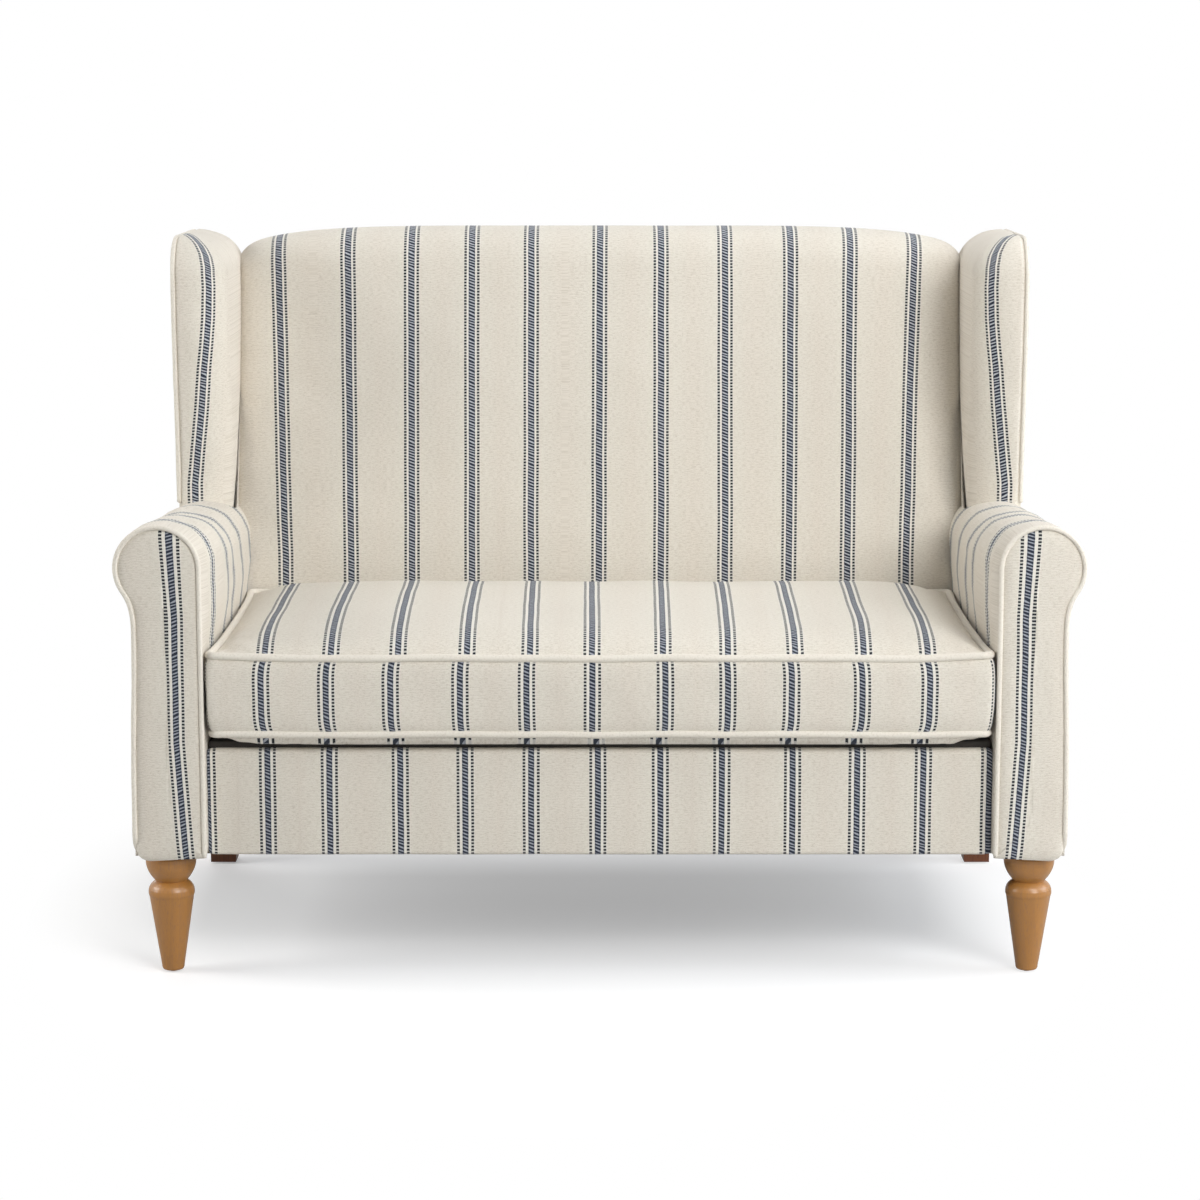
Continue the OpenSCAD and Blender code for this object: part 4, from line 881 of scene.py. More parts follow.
class SETTEE_OT_facings(bpy.types.Operator):
    """Padded facings of the arms with their welts: the outline drawn in toward a middle line, domed"""

    bl_idname = "settee.facings"
    bl_label = "Arm facings"

    def execute(self, context):
        sizes = context.scene.settee_sizes
        lines = Lines(sizes)
        outline = lines.facing(300)
        # outward of a clockwise outline is to its left
        normal = sides(outline)
        for side, name in ((1, "right"), (-1, "left")):
            pad = self.pad(lines, outline, normal, side).piece(
                f"arm_facing_pad_{name}", "stripe_cover", replaces=[f"arm_facing_{name}"])
            path = self.welt_path(lines, outline, normal)
            tube(path if side > 0 else mirror(path), sizes.facing_welt, (0, 1, 0), closed=False, around=14,
                 uneven=0.035, seed=81 + side).piece(
                f"arm_facing_welt_{name}", "plain_welt", replaces=[f"facing_welt_{name}"])
        return {"FINISHED"}

    def pad(self, lines, outline, normal, side):
        """The seam line drawn in by shares toward the board's middle line, with a domed edge
        exp(-distance / 6 mm), and the cover going back round the board's edge behind the welt."""
        sizes = lines.s
        open_foot = np.clip(1 - (-normal[:, 1:] - 0.2) / 0.6, 0, 1)
        seam = outline - normal * (2 * sizes.facing_welt - 0.0016) * open_foot
        spine = np.stack([np.full(len(seam), lines.arm_in + 0.052),
                          np.clip(seam[:, 1], lines.leg_top + 0.05, lines.scroll_z(0) - 0.004)], axis=1)
        share = np.concatenate([[0], np.linspace(0.03, 1, 22) ** 1.25 * 0.97])
        flat = seam[None] + (spine - seam)[None] * share[:, None, None]
        gap = np.linalg.norm(spine - seam, axis=1)[None] * share[:, None]
        soft = 0.0004 * ripple(71 + side, flat[..., 0], flat[..., 1], 0.10) * ease(gap, 0, 0.02)
        p = upright(flat, 0.0052 - 0.0046 * (1 - np.exp(-gap / 0.006)) - soft)
        stripe = np.interp(flat[..., 1], FACING_HEIGHT, FACING_STRIPE)
        stretch = np.interp(flat[..., 1], FACING_HEIGHT, FACING_STRETCH)
        uv = np.stack([(flat[..., 0] - stripe) * stretch / sizes.stripe_pitch, flat[..., 1]], axis=2)
        uv = np.concatenate([uv, uv[:, :1]], axis=1)
        turned = np.stack([upright(outline - normal * 0.0030, 0.024),
                           upright(outline - normal * 0.0022, 0.0100), upright(seam, 0.0062)])
        # the turned edge shows plain cloth, half way between two stripes
        plain = np.repeat(uv[:1], 4, axis=0)
        plain[..., 0] = 0.5
        if side < 0:
            p, turned = mirror(p), mirror(turned)
        pad = Pattern().grid(p, uv, wrap=True).grid(np.concatenate([turned, p[:1]]), plain, wrap=True)
        return pad.cap(p[-1], uv[-1, :-1]).cap(turned[0], plain[0, :-1])

    def welt_path(self, lines, outline, normal):
        """The line of the welt: up the inner side, over the scroll and down to the foot, where it dives
        behind the pad."""
        welt = lines.s.facing_welt
        last = np.argmax((normal[:, 1] < -0.55) & (np.arange(len(normal)) > 20))
        path = np.vstack([[lines.arm_in + welt, lines.leg_top + 0.0016], (outline - normal * welt)[4:last],
                          outline[last] - [0.009, -0.0060]])
        return upright(even(path, 420), welt + 0.009 * ease(np.linspace(0, 1, 420), 0.965, 0.995))


class SETTEE_OT_outside_arms(bpy.types.Operator):
    """Cloth stretched over the outside of each arm, from the waist under the scroll to the foot"""

    bl_idname = "settee.outside_arms"
    bl_label = "Outside arms"

    def execute(self, context):
        sizes = context.scene.settee_sizes
        lines = Lines(sizes)
        thick, start = 0.004, 0.020
        u, v = np.meshgrid(np.linspace(0, 1, 120), np.linspace(0, 1, 60), indexing="ij")
        head = lines.scroll_z(start + u * (lines.arm_end - start)) - sizes.neck_drop + 0.004
        z = head + (lines.leg_top - head) * v
        y = start + (lines.rear(z) - lines.panel - start) * u
        bow = 0.0016 * np.sin(np.pi * u) * np.sin(np.pi * v)
        x = lines.arm_out + lines.flare * v ** 1.5 - 0.0012 + bow + 0.0004 * ripple(91, y, z, 0.3)
        x = x - 0.003 * np.exp(-v * (head - lines.leg_top) / 0.006)
        outer = np.stack([x, y + FRONT, z], axis=2)
        uv = np.stack([y / sizes.stripe_pitch + ASIDE, z], axis=2)
        for name, face in (("right", outer), ("left", mirror(outer))):
            inner = face - [thick if name == "right" else -thick, 0, 0]
            # the lower edge is turned under and stapled
            inner[:, -1, 2] = lines.leg_top
            piece = backed(face, inner, uv).piece(
                f"outside_arm_cloth_{name}", "stripe_cover", replaces=[f"outside_arm_{name}"])
        return {"FINISHED"}


class SETTEE_OT_wings(bpy.types.Operator):
    """Padded wings with a welt on the outer edge: an outline drawn in along a rounded section"""

    bl_idname = "settee.wings"
    bl_label = "Wings"

    def execute(self, context):
        sizes = context.scene.settee_sizes
        lines = Lines(sizes)
        base, normal, keep, corner = lines.wing()
        for side, name in ((1, "right"), (-1, "left")):
            piece = self.cover(lines, base, normal, keep, side).piece(
                f"wing_cover_{name}", "back_cover", replaces=[f"wing_{name}"], slot="stripe_cover")
            path = self.welt_path(lines, base, normal, corner)
            tube(path if side > 0 else mirror(path), sizes.facing_welt, (1, 0, 0), closed=False, around=14,
                 uneven=0.035, seed=111 + side).piece(
                f"wing_welt_cord_{name}", "plain_welt", replaces=[f"wing_welt_{name}"])
        return {"FINISHED"}

    def cover(self, lines, base, normal, keep, side):
        """A wing's cover. Its rim is the outline moved inward by d at each x of the section: a rebate for
        the welt, then a quarter round toward the inner side. Two panels close it."""
        sizes = lines.s
        x_out, x_in, r = lines.arm_out, lines.arm_out - sizes.wing_thickness, sizes.wing_round
        w = 2 * sizes.facing_welt
        t = np.linspace(0, np.pi / 2, 40)[1:]
        flat = x_out - w - 0.0025
        x = np.concatenate([x_out - np.array([0.0030, 0.0045, 0.0062, 0.0078, 0.0100]),
                            x_in + (flat - x_in) * (1 - np.sin(t))])
        d = np.concatenate([[w + 0.0010, w - 0.0005, w - 0.0030, 0.0030, 0.0008], r * (1 - np.cos(t))])
        run = lengths(base, closed=True)
        across = lengths(np.stack([x, d], axis=1))[:, None]
        soft = 0.0010 * ripple(101 + side, x[:, None] * 1.2, run[None, :-1], 0.14)
        soft = soft * np.minimum(1, across / 0.02)
        yz = base[None] - normal[None] * ((d[:, None] - soft) * keep[None])[..., None]
        p = np.stack([np.broadcast_to(x[:, None], yz.shape[:2]), yz[..., 0] + FRONT, yz[..., 1]], axis=2)
        centre = np.interp(run, WING_RUN, WING_STRIPE)
        number = np.clip((across - centre[None]) / sizes.stripe_pitch, -0.5, 0.5)
        uv = np.stack(np.broadcast_arrays(number, run[None]), axis=2)
        wing = Pattern().grid(p if side > 0 else mirror(p), uv, wrap=True)
        for ring, face_x, swell, plain in ((yz[0], x[0], 0.0035, False), (yz[-1], x[-1], -0.0020, True)):
            grid, plan = self.panel(lines, ring, face_x, swell, plain)
            grid = grid if side > 0 else mirror(grid)
            wing.grid(grid, plan, wrap=True).cap(grid[-1], plan[-1, :-1])
        return wing

    def panel(self, lines, ring, face_x, swell, plain):
        """The outer or inner panel: rings drawn in toward a hub and swollen by 1 - exp(-share / 0.18). A
        plain one shows the cloth between two stripes."""
        hub = np.array([lines.rear(0.8) - 0.13, 0.80])
        share = np.linspace(0, 0.985, 16)
        plane = ring[None] + (hub - ring)[None] * share[:, None, None]
        rise = face_x + swell * (1 - np.exp(-share / 0.18))[:, None] + 0 * plane[..., 0]
        number = np.full(plane.shape[:2], 6.5) if plain else plane[..., 0] / lines.s.stripe_pitch + ASIDE
        plan = np.stack([number, plane[..., 1]], axis=2)
        grid = np.stack([rise, plane[..., 0] + FRONT, plane[..., 1]], axis=2)
        return grid, np.concatenate([plan, plan[:, :1]], axis=1)

    def welt_path(self, lines, base, normal, corner):
        """The line of the welt, from the arm's scroll up and over to the rear corner."""
        welt = lines.s.facing_welt
        aside = lines.arm_out - 2 * welt - lines.scroll_x
        foot = lines.scroll_z(base[0, 0]) + math.sqrt(lines.s.scroll_radius ** 2 - aside ** 2)
        path = (base - normal * (welt + 0.0002))[:corner + 16]
        path = even(path[path[:, 1] > foot - 0.002], 260)
        return np.stack([np.full(len(path), lines.arm_out - welt), path[:, 0] + FRONT, path[:, 1]], axis=1)


class SETTEE_OT_back(bpy.types.Operator):
    """Padded inside back: a profile of lean and roll swept across, swollen in its middle, drooping at
    the wings"""

    bl_idname = "settee.back"
    bl_label = "Inside back"

    def profile(self, lines):
        """The section in depth and height, up the front, over the roll and down behind."""
        r, low, lean_z, seat_rear = lines.s.back_roll, lines.platform, lines.lean_z, lines.seat_rear
        slope = math.tan(2 * lines.s.lean)
        top_front = np.array([lines.rear(lines.roll_z) - 0.134, lines.roll_z])
        rear = np.array([lines.rear(lines.roll_z) - lines.panel - r, lines.roll_z])
        front = cubic([[seat_rear, lean_z], [seat_rear, lean_z + r], top_front - [r * slope, 2 * r],
                       top_front], 90)
        roll = cubic([top_front, top_front + [0.6 * r * slope / 2, 0.6 * r], top_front + [0.45 * r, r],
                      top_front + [r, r]], 30)
        return chain(line([seat_rear, low], [seat_rear, lean_z], 20), front, roll,
                     line(top_front + [r, r], rear + [0, r], 4), arc(rear, r, 90, 0, 24),
                     line(rear + [r, 0], [lines.rear(low) - lines.panel, low], 30))

    def execute(self, context):
        sizes = context.scene.settee_sizes
        lines = Lines(sizes)
        profile = self.profile(lines)
        # the pad is pressed a little into both wings
        half = lines.arm_out - sizes.wing_thickness + 0.0045
        s = np.concatenate([np.linspace(0, 0.9, 62), 0.9 + 0.1 * np.sin(np.linspace(0, np.pi / 2, 22))[1:]])
        s = np.concatenate([-s[:0:-1], s])
        y0, z0 = profile[:, 0][None], profile[:, 1][None]
        x, a = s[:, None] * half + 0 * y0, np.abs(s)[:, None]
        edge = half * (1 - a)
        up = np.clip((z0 - lines.lean_z) / (lines.top - lines.lean_z), 0, None)
        front = (y0 < lines.rear(z0) - 0.065) * 1.0
        beside = front * ease(up, 0, 0.1)
        droop = (0.030 * a ** 6 + 0.0155 * a ** 40) * up ** 6
        belly = 0.012 * (1 - a ** 4) * np.sin(np.pi * np.minimum(1, up)) * front
        back_off = 0.018 * np.exp(-edge / 0.012) * beside + 0.012 * up * a ** 12 * front
        soft = 0.0016 * ripple(121, x, z0 * 0.6, 0.30) + 0.0006 * ripple(122, x * 0.8, z0, 0.10)
        # pulls toward the wings, where the cover goes through to the frame
        pull = 0.0011 * np.exp(-edge / 0.035) * ripple(123, x * 0.2, z0, 0.05) * beside
        y = y0 - belly - soft * front * ease(up, 0.0, 0.15) - pull + back_off
        p = np.stack([x, y + FRONT, z0 - droop], axis=2)
        number = stripes_at(x, between(BACK_FOOT, BACK_TOP, np.clip((z0 - 0.53) / 0.51, 0, 1)))
        v = np.broadcast_to(lengths(profile)[None], x.shape)
        piece = swept(p, np.stack([number, v], axis=2)).piece(
            "inside_back_pad", "back_cover", replaces=["inside_back"], slot="stripe_cover")
        return {"FINISHED"}


class SETTEE_OT_outside_back(bpy.types.Operator):
    """Cloth stretched over the rear of the settee, with turned edges and a slight hollow between the
    frame's members"""

    bl_idname = "settee.outside_back"
    bl_label = "Outside back"

    def execute(self, context):
        lines = Lines(context.scene.settee_sizes)
        u, v = np.meshgrid(np.linspace(-1, 1, 150), np.linspace(0, 1, 90), indexing="ij")
        half, low, high = lines.arm_out, lines.leg_top, lines.roll_z
        x, z = u * half, low + (high - low) * v
        rim = np.minimum(half * (1 - np.abs(u)), np.minimum(z - low, high - z))
        hollow = 0.0022 * ease(rim, 0.05, 0.25) + 0.0030 * np.exp(-rim / 0.0035)
        y = lines.rear(z) - 0.0004 - hollow + 0.0005 * ripple(131, x, z, 0.35)
        outer = np.stack([x, y + FRONT, z], axis=2)
        inner = np.stack([x, lines.rear(z) - lines.panel + FRONT + 0.0002, z], axis=2)
        uv = np.stack([stripes_at(x, BACK_TOP), z], axis=2)
        piece = backed(outer, inner, uv).piece(
            "outside_back_cloth", "stripe_cover", replaces=["outside_back"])
        return {"FINISHED"}


def bar_cover(profile, half, x_round, seed, uneven):
    """A padded bar across the seat: its profile in depth and height swept along X, drawn in at both
    ends, with a slow ripple on its front."""
    s = np.concatenate([np.linspace(0, 0.985, 120), 1 - 0.015 * (1 - np.linspace(0, 1, 8)[1:]) ** 2])
    s = np.concatenate([-s[:0:-1], s])
    x = s[:, None] * half + 0 * profile[None, :, 0]
    edge = half * (1 - np.abs(s))[:, None]
    pull_in = x_round * np.exp(-edge / (x_round * 1.2))
    toward = profile.mean(axis=0) - profile
    toward = toward / np.maximum(np.linalg.norm(toward, axis=1, keepdims=True), 1e-9)
    soft = uneven * ripple(seed, x, profile[None, :, 1], 0.16) * ease(edge, 0, 0.02)
    y = profile[None, :, 0] + toward[None, :, 0] * pull_in + soft * 0.6
    z = profile[None, :, 1] + toward[None, :, 1] * pull_in
    return np.stack([x, y + FRONT, z], axis=2)


def rounded_front(y0, z0, y1, z1, foot_r, head_r, n=14):
    """The outline of a bar with its two front corners rounded, from its rear foot round the front."""
    return chain(line([y1, z0], [y0 + foot_r, z0], 8),
                 arc([y0 + foot_r, z0 + foot_r], foot_r, 270, 180, n),
                 line([y0, z0 + foot_r], [y0, z1 - head_r], 26),
                 arc([y0 + head_r, z1 - head_r], head_r, 180, 90, n),
                 line([y0 + head_r, z1], [y1, z1], 8), line([y1, z1], [y1, z0], 10))[:-1]


class SETTEE_OT_seat_front(bpy.types.Operator):
    """Front border under the cushion and the padded platform that the cushion lies on"""

    bl_idname = "settee.seat_front"
    bl_label = "Front border and platform"

    def execute(self, context):
        sizes = context.scene.settee_sizes
        lines = Lines(sizes)
        low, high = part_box("front_border")
        front, seat_low, seat_top = high[1] - FRONT, SEAT_LOW[2], float(SEAT_HIGH[2])
        # the border's face stands back and its top lies lower than its solid's, which opens the dark line
        profile = rounded_front(low[1] - FRONT + 0.014, low[2], front, seat_top - 0.0090, 0.005, 0.0095)
        p = bar_cover(profile, lines.arm_in - 0.0003, 0.003, 141, 0.0011)
        run = np.broadcast_to(lengths(profile)[None], p.shape[:2])
        border = swept(p, np.stack([stripes_at(p[..., 0], RAIL_FRONT), run], axis=2))
        border.piece("front_border_pad", "stripe_cover", replaces=["front_border"])
        rear = SEAT_HIGH[1] - FRONT
        profile = chain(line([rear, seat_low], [front, seat_low], 8),
                        line([front, seat_low], [front, seat_top], 8),
                        line([front, seat_top], [rear, seat_top], 60),
                        line([rear, seat_top], [rear, seat_low], 8))[:-1]
        p = bar_cover(profile, float(SEAT_HIGH[0]), 0.002, 151, 0.0)
        run = np.broadcast_to(lengths(profile)[None], p.shape[:2])
        deck = swept(p, np.stack([p[..., 0] / sizes.stripe_pitch, run], axis=2))
        deck.piece("platform_pad", "deck_cloth", replaces=["seat_deck"])
        return {"FINISHED"}


class SETTEE_OT_dust_cover(bpy.types.Operator):
    """Black dust cover stapled under the frame: a sheet that sags a little between the rails"""

    bl_idname = "settee.dust_cover"
    bl_label = "Dust cover"

    def execute(self, context):
        low, high = (np.array(c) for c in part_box("dust_cover"))
        size = high - low
        u, v = np.meshgrid(np.linspace(0, 1, 140), np.linspace(0, 1, 80), indexing="ij")
        x, y = low[0] + size[0] * u, low[1] + size[1] * v
        rim = np.minimum(np.minimum(u, 1 - u) * size[0], np.minimum(v, 1 - v) * size[1])
        sag = 0.0045 * ease(rim, 0.03, 0.26) - 0.0003 * ripple(161, x, y, 0.09) * ease(rim, 0.03, 0.08)
        z = np.minimum(low[2] + 0.0007 - sag, high[2] - 0.0005)
        cloth = Pattern().grid(np.stack([x, y, z], axis=2), np.stack([x, y], axis=2))
        piece = cloth.piece("dust_cover_cloth", "dust_cloth", replaces=["dust_cover"], closed=False)
        thick = piece.modifiers.new("thickness", "SOLIDIFY")
        thick.thickness = 0.0006
        return {"FINISHED"}


def loop(grid):
    """The rim of a grid of points, once round."""
    return np.concatenate([grid[:-1, 0], grid[-1, :-1], grid[:0:-1, -1], grid[0, :0:-1]])


class Cushion:
    """The seat cushion's form, on a square of u and v from -1 to 1 mapped to its plan."""

    def __init__(self, sizes):
        low, high = (np.array(c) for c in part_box("cushion_border"))
        # it reaches a little further forward than its solid
        low[1] -= 0.011
        self.low, self.high, self.centre = low, high, (low + high) / 2
        self.swell, self.radius, self.pitch = 0.0045, 0.012, sizes.stripe_pitch
        # past this x the border's stripes are counted round its end
        self.end_x = 0.53
        self.a, self.b = sizes.seat_half - 0.0016 - self.swell, (high[1] - low[1]) / 2 - self.swell
        # the grid's lines crowd a little toward the seams
        u, v = (np.sin(t * np.pi / 2) * 0.35 + t * 0.65
                for t in (np.linspace(-1, 1, 190), np.linspace(-1, 1, 96)))
        self.u, self.v = np.meshgrid(u, v, indexing="ij")
        self.seam_top, self.seam_low = CORE_HIGH[2] - 0.0002, CORE_LOW[2] - 0.0028

    def plan(self, u, v, inset):
        """The square mapped to the cushion in plan: straight sides drawn in toward their middle and
        corners turned into arcs by pulling their offset to the length of its larger part."""
        ax, by, radius = self.a - inset, self.b - inset, self.radius
        x, y = u * ax, v * by
        qx, qy = np.maximum(np.abs(x) - (ax - radius), 0), np.maximum(np.abs(y) - (by - radius), 0)
        pull = np.maximum(qx, qy) / np.maximum(np.hypot(qx, qy), 1e-9)
        x = np.sign(x) * (np.minimum(np.abs(x), ax - radius) + qx * pull)
        y = np.sign(y) * (np.minimum(np.abs(y), by - radius) + qy * pull)
        y = y * (1 - 0.0035 / by * np.abs(v) ** 3 * (1 - u ** 2))
        x = x * (1 - 0.0025 / ax * np.abs(u) ** 3 * (1 - v ** 2))
        return x + self.centre[0], y + self.centre[1]

    def panel(self, inset, seam_z, rise, seed, reach=(0.038, 0.034)):
        """A crowned panel: from the seam it rises steeply and levels off, 1 - exp(-distance / reach) to
        each side, with slow unevenness and puckers that fade away from the seam."""
        u, v, sign = self.u, self.v, math.copysign(1, rise)
        x, y = self.plan(u, v, inset)
        ex, ey = (self.a - inset) * (1 - np.abs(u)), (self.b - inset) * (1 - np.abs(v))
        crown = (1 - np.exp(-ex / reach[0])) * (1 - np.exp(-ey / reach[1]))
        crown = crown / (1 - math.exp(-self.b / reach[1]))
        dome = 0.86 * crown + 0.14 * (1 - u ** 2) * (1 - v ** 2)
        edge = np.minimum(ex, ey)
        soft = 0.0016 * ripple(seed, x, y, 0.26) * ease(edge, 0.0, 0.12)
        pucker = 0.0010 * np.exp(-edge / 0.022) * ease(edge, 0, 0.006) * ripple(seed + 1, x, y, 0.030)
        near = np.exp(-np.hypot(ex, ey) / 0.06) * ease(edge, 0, 0.01)
        dog_ear = 0.0022 * near * ripple(seed + 2, x, y, 0.045)
        return np.stack([x, y, seam_z + rise * dome + sign * (soft + pucker + dog_ear)], axis=2)

    def ears(self, p, share=1.0):
        """The corners of the upper seam, drawn out and up by the cover's tightness."""
        away = np.hypot(np.maximum(self.a - np.abs(p[..., 0]), 0),
                        np.maximum(self.b - np.abs(p[..., 1] - self.centre[1]), 0))
        near = share * np.exp(-away / 0.055)
        return p + np.stack([0.0034 * np.sign(p[..., 0]) * near, 0 * near, 0.0042 * near], axis=-1)

    def border_row(self, u, v, k):
        """The border's row at a share k of its height: the rim swollen by (1 - (2k - 1)^4)^0.8, with a slow
        wave that moves each side along its own normal."""
        bulge = self.swell * (1 - (2 * k - 1) ** 4) ** 0.8
        x, y = self.plan(u, v, -bulge + 0.0004)
        run = np.concatenate([[0], np.cumsum(np.hypot(np.diff(x), np.diff(y)))])
        wave = 0.0008 * ripple(191, run, k * 0.1, 0.12) * math.sin(math.pi * k)
        nx, ny = (x - self.centre[0]) / self.a, (y - self.centre[1]) / self.b
        big = np.maximum(np.abs(nx), np.abs(ny)) - 0.05
        x = x + wave * np.sign(nx) * (np.abs(nx) >= big)
        y = y + wave * np.sign(ny) * (np.abs(ny) >= big)
        z = np.full(len(x), self.seam_low + (self.seam_top - self.seam_low) * k)
        return self.ears(np.stack([x, y, z], axis=1), k ** 3)

    def border_number(self, x, y):
        """Stripes of the border: by place across the front and rear, by length round the ends."""
        round_end = (np.abs(x) - self.end_x + (y - self.low[1])) / self.pitch
        across = stripes_at(np.clip(x, -self.end_x, self.end_x), SEAT_SIDE)
        return across + np.sign(x) * np.where(np.abs(x) > self.end_x, round_end, 0)


class SETTEE_OT_cushion(bpy.types.Operator):
    """Loose seat cushion: two crowned panels and a swollen border, sewn to welts at both seams"""

    bl_idname = "settee.cushion"
    bl_label = "Seat cushion"

    def execute(self, context):
        sizes = context.scene.settee_sizes
        form, w = Cushion(sizes), sizes.cushion_welt
        top = form.ears(form.panel(w * 1.5, form.seam_top + w, sizes.crown + 0.0022 - w, 171))
        under = form.panel(w * 0.35, form.seam_low - w, w - 0.030, 181, (0.050, 0.003))
        # it lies flat on the platform
        under[..., 2] = np.maximum(under[..., 2], float(SEAT_HIGH[2]) + 0.0004)
        rim = loop(np.stack([form.u, form.v], axis=2))
        rows = [form.border_row(rim[:, 0], rim[:, 1], k) for k in np.linspace(0, 1, 22)]
        # turned allowances join the border to the panels behind each welt
        side = np.stack([loop(under), *rows, loop(top)])
        rearward = (top[..., 1] - form.low[1]) / (form.high[1] - form.low[1])
        top_number = stripes_at(top[..., 0], between(SEAT_FRONT, SEAT_REAR, rearward))
        seat = Pattern().grid(top, np.stack([top_number, top[..., 1]], axis=2))
        seat.grid(under, np.stack([stripes_at(under[..., 0], SEAT_UNDER), under[..., 1]], axis=2))
        number = form.border_number(side[1, :, 0], side[1, :, 1])
        uv = np.stack([np.broadcast_to(number, side.shape[:2]), side[..., 2]], axis=2)
        seat.grid(side, np.concatenate([uv, uv[:, :1]], axis=1), wrap=True)
        cushion = seat.piece("seat_cushion_cover", "stripe_cover", "seat_cushion",
                             ["cushion_top", "cushion_bottom", "cushion_border"])
        square = np.meshgrid(np.linspace(-1, 1, 240), np.linspace(-1, 1, 120), indexing="ij")
        square = loop(np.stack(square, axis=2))
        for z, share, name, old in ((form.seam_top + w * 0.9, 1, "top", "cushion_welt_top"),
                                    (form.seam_low - w * 0.9, 0, "under", "cushion_welt_bottom")):
            x, y = form.plan(square[:, 0], square[:, 1], w * 0.55)
            path = form.ears(even(np.stack([x, y, np.full(len(x), z)], axis=1), 900, closed=True), share)
            path[:, 2] += 0.0006 * ripple(201, path[:, 0], path[:, 1], 0.22)
            tube(path, w, (0, 0, 1), around=16, uneven=0.03, seed=211).piece(
                f"seat_cushion_welt_{name}", "plain_welt", "seat_cushion", [old])
        return {"FINISHED"}


class SETTEE_OT_frame_finish(bpy.types.Operator):
    """Finishes for the frame's own pieces: legs, timber, springs, fixings, felt, webbing and zip"""

    bl_idname = "settee.frame_finish"
    bl_label = "Frame finishes"

    def execute(self, context):
        for entry in frame["record"]["subparts"]:
            obj = frame["nodes"].get(entry["node"])
            if obj is None:
                raise RuntimeError(f"the frame has no piece {entry['node']}")
            material = finish(entry["material_slot"])
            if not obj.material_slots:
                obj.data.materials.append(material)
            for slot in obj.material_slots:
                slot.material = material
        return {"FINISHED"}


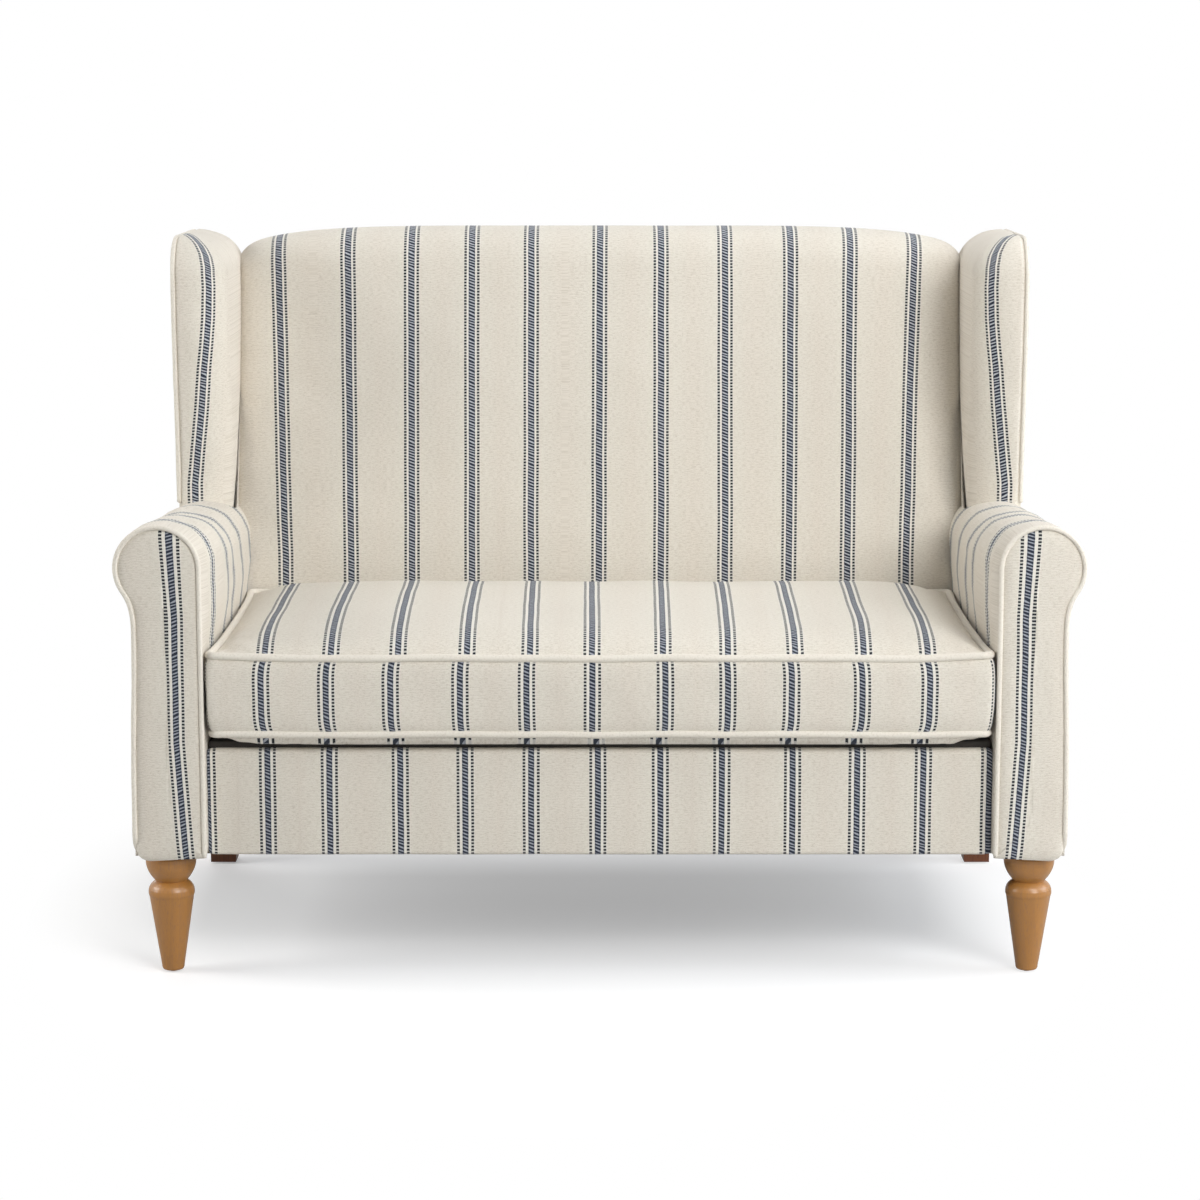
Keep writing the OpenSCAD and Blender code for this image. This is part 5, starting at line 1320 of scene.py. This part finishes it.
class SETTEE_OT_stage(bpy.types.Operator):
    """Pale floor, soft studio light and the camera"""

    bl_idname = "settee.stage"
    bl_label = "Floor, light and camera"

    def execute(self, context):
        scene = context.scene
        bpy.ops.mesh.primitive_plane_add(size=60, location=(0, 4, 0))
        floor = context.object
        floor.name = "floor"
        floor.data.materials.append(self.floor_finish(tuple(scene.settee_colours.floor)))
        floor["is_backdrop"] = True
        scene.world = self.studio()
        for name, (place, aim, size, watts, tone) in LAMPS.items():
            data = bpy.data.lights.new(name, "AREA")
            data.shape = "RECTANGLE"
            data.size, data.size_y = size
            data.energy, data.color = watts, tone
            lamp = bpy.data.objects.new(name, data)
            lamp.location = place
            lamp.rotation_euler = (Vector(aim) - Vector(place)).to_track_quat("-Z", "Y").to_euler()
            scene.collection.objects.link(lamp)
        data = bpy.data.cameras.new("camera")
        data.sensor_width, data.lens, data.clip_end = 36.0, CAMERA_LENS, 60
        camera = bpy.data.objects.new("camera", data)
        camera.location = (0.0, FRONT - CAMERA_AWAY, CAMERA_HEIGHT)
        camera.rotation_euler = (math.radians(90 - CAMERA_DOWN), 0, 0)
        scene.collection.objects.link(camera)
        scene.camera = camera
        scene.view_settings.view_transform = "Standard"
        return {"FINISHED"}

    def studio(self):
        """A world that the camera and mirrors see as plain white and that gives little light itself."""
        world = bpy.data.worlds.new("studio")
        world.use_nodes = True
        sky = Tree(world.node_tree)
        rays = sky.add("ShaderNodeLightPath").socket.node.outputs
        kinds = ("Camera", "Glossy", "Transmission")
        seen, mirrored, through = (Value(sky, rays[f"Is {kind} Ray"]) for kind in kinds)
        dim = sky.add("ShaderNodeBackground", None, {0: (0.97, 0.985, 1, 1), 1: 0.02})
        white = sky.add("ShaderNodeBackground", None, {0: (1, 1, 1, 1), 1: 1.0})
        shown = seen.math("MAXIMUM", mirrored).math("MAXIMUM", through)
        sky.output(sky.add("ShaderNodeMixShader", None, {0: shown, 1: dim, 2: white}))
        return world

    def floor_finish(self, colour):
        """Pale floor that keeps the settee's shadow near it and shows plain white to the camera far off."""
        f = Finish("pale_floor", colour=colour, roughness=0.95, specular_ior_level=0.1)
        x, y, _ = f.split(f.place())
        seen = f.add("ShaderNodeLightPath", out="Is Camera Ray")
        glow = f.add("ShaderNodeEmission", None, {"Color": (1, 1, 1, 1), "Strength": 0.33})
        white = f.add("ShaderNodeEmission", None, {"Color": (1, 1, 1, 1), "Strength": 1.0})
        matt = f.add("ShaderNodeBsdfDiffuse", None, {"Color": (0.80, 0.80, 0.805, 1)})
        near = f.add("ShaderNodeAddShader", None, {0: glow, 1: matt})
        away = (((x + 0.06) * (x + 0.06) * 2.0 + (y + 3.9) * (y + 3.9)).power(0.5) - 0.80) / 0.38
        shown = f.add("ShaderNodeMixShader", None, {0: away.clamped(), 1: near, 2: white})
        plain = Value(f, f.shader.outputs[0])
        f.output(f.add("ShaderNodeMixShader", None, {0: seen, 1: plain, 2: shown}))
        return f.material


class SETTEE_PT_panel(bpy.types.Panel):
    """Sidebar panel with the settee's sizes, colours and pieces"""

    bl_label = "High Back Settee"
    bl_idname = "SETTEE_PT_panel"
    bl_space_type = "VIEW_3D"
    bl_region_type = "UI"
    bl_category = "Settee"

    def draw(self, context):
        layout = self.layout
        for group in (context.scene.settee_sizes, context.scene.settee_colours):
            box = layout.box()
            for key in group.__annotations__:
                box.prop(group, key)
        for operator in OPERATORS:
            layout.operator(operator.bl_idname)


OPERATORS = (
    SETTEE_OT_frame_finish, SETTEE_OT_back, SETTEE_OT_outside_back, SETTEE_OT_wings, SETTEE_OT_arms,
    SETTEE_OT_facings, SETTEE_OT_outside_arms, SETTEE_OT_seat_front, SETTEE_OT_dust_cover,
    SETTEE_OT_cushion, SETTEE_OT_stage,
)
CLASSES = (SetteeSizes, SetteeColours) + OPERATORS + (SETTEE_PT_panel,)


def register():
    for cls in CLASSES:
        bpy.utils.register_class(cls)
    bpy.types.Scene.settee_sizes = bpy.props.PointerProperty(type=SetteeSizes)
    bpy.types.Scene.settee_colours = bpy.props.PointerProperty(type=SetteeColours)


def unregister():
    del bpy.types.Scene.settee_sizes
    del bpy.types.Scene.settee_colours
    for cls in reversed(CLASSES):
        bpy.utils.unregister_class(cls)


def main():
    """Registers the add-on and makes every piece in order."""
    register()
    for operator in OPERATORS:
        area, name = operator.bl_idname.split(".")
        getattr(getattr(bpy.ops, area), name)()


if __name__ == "__main__":
    main()
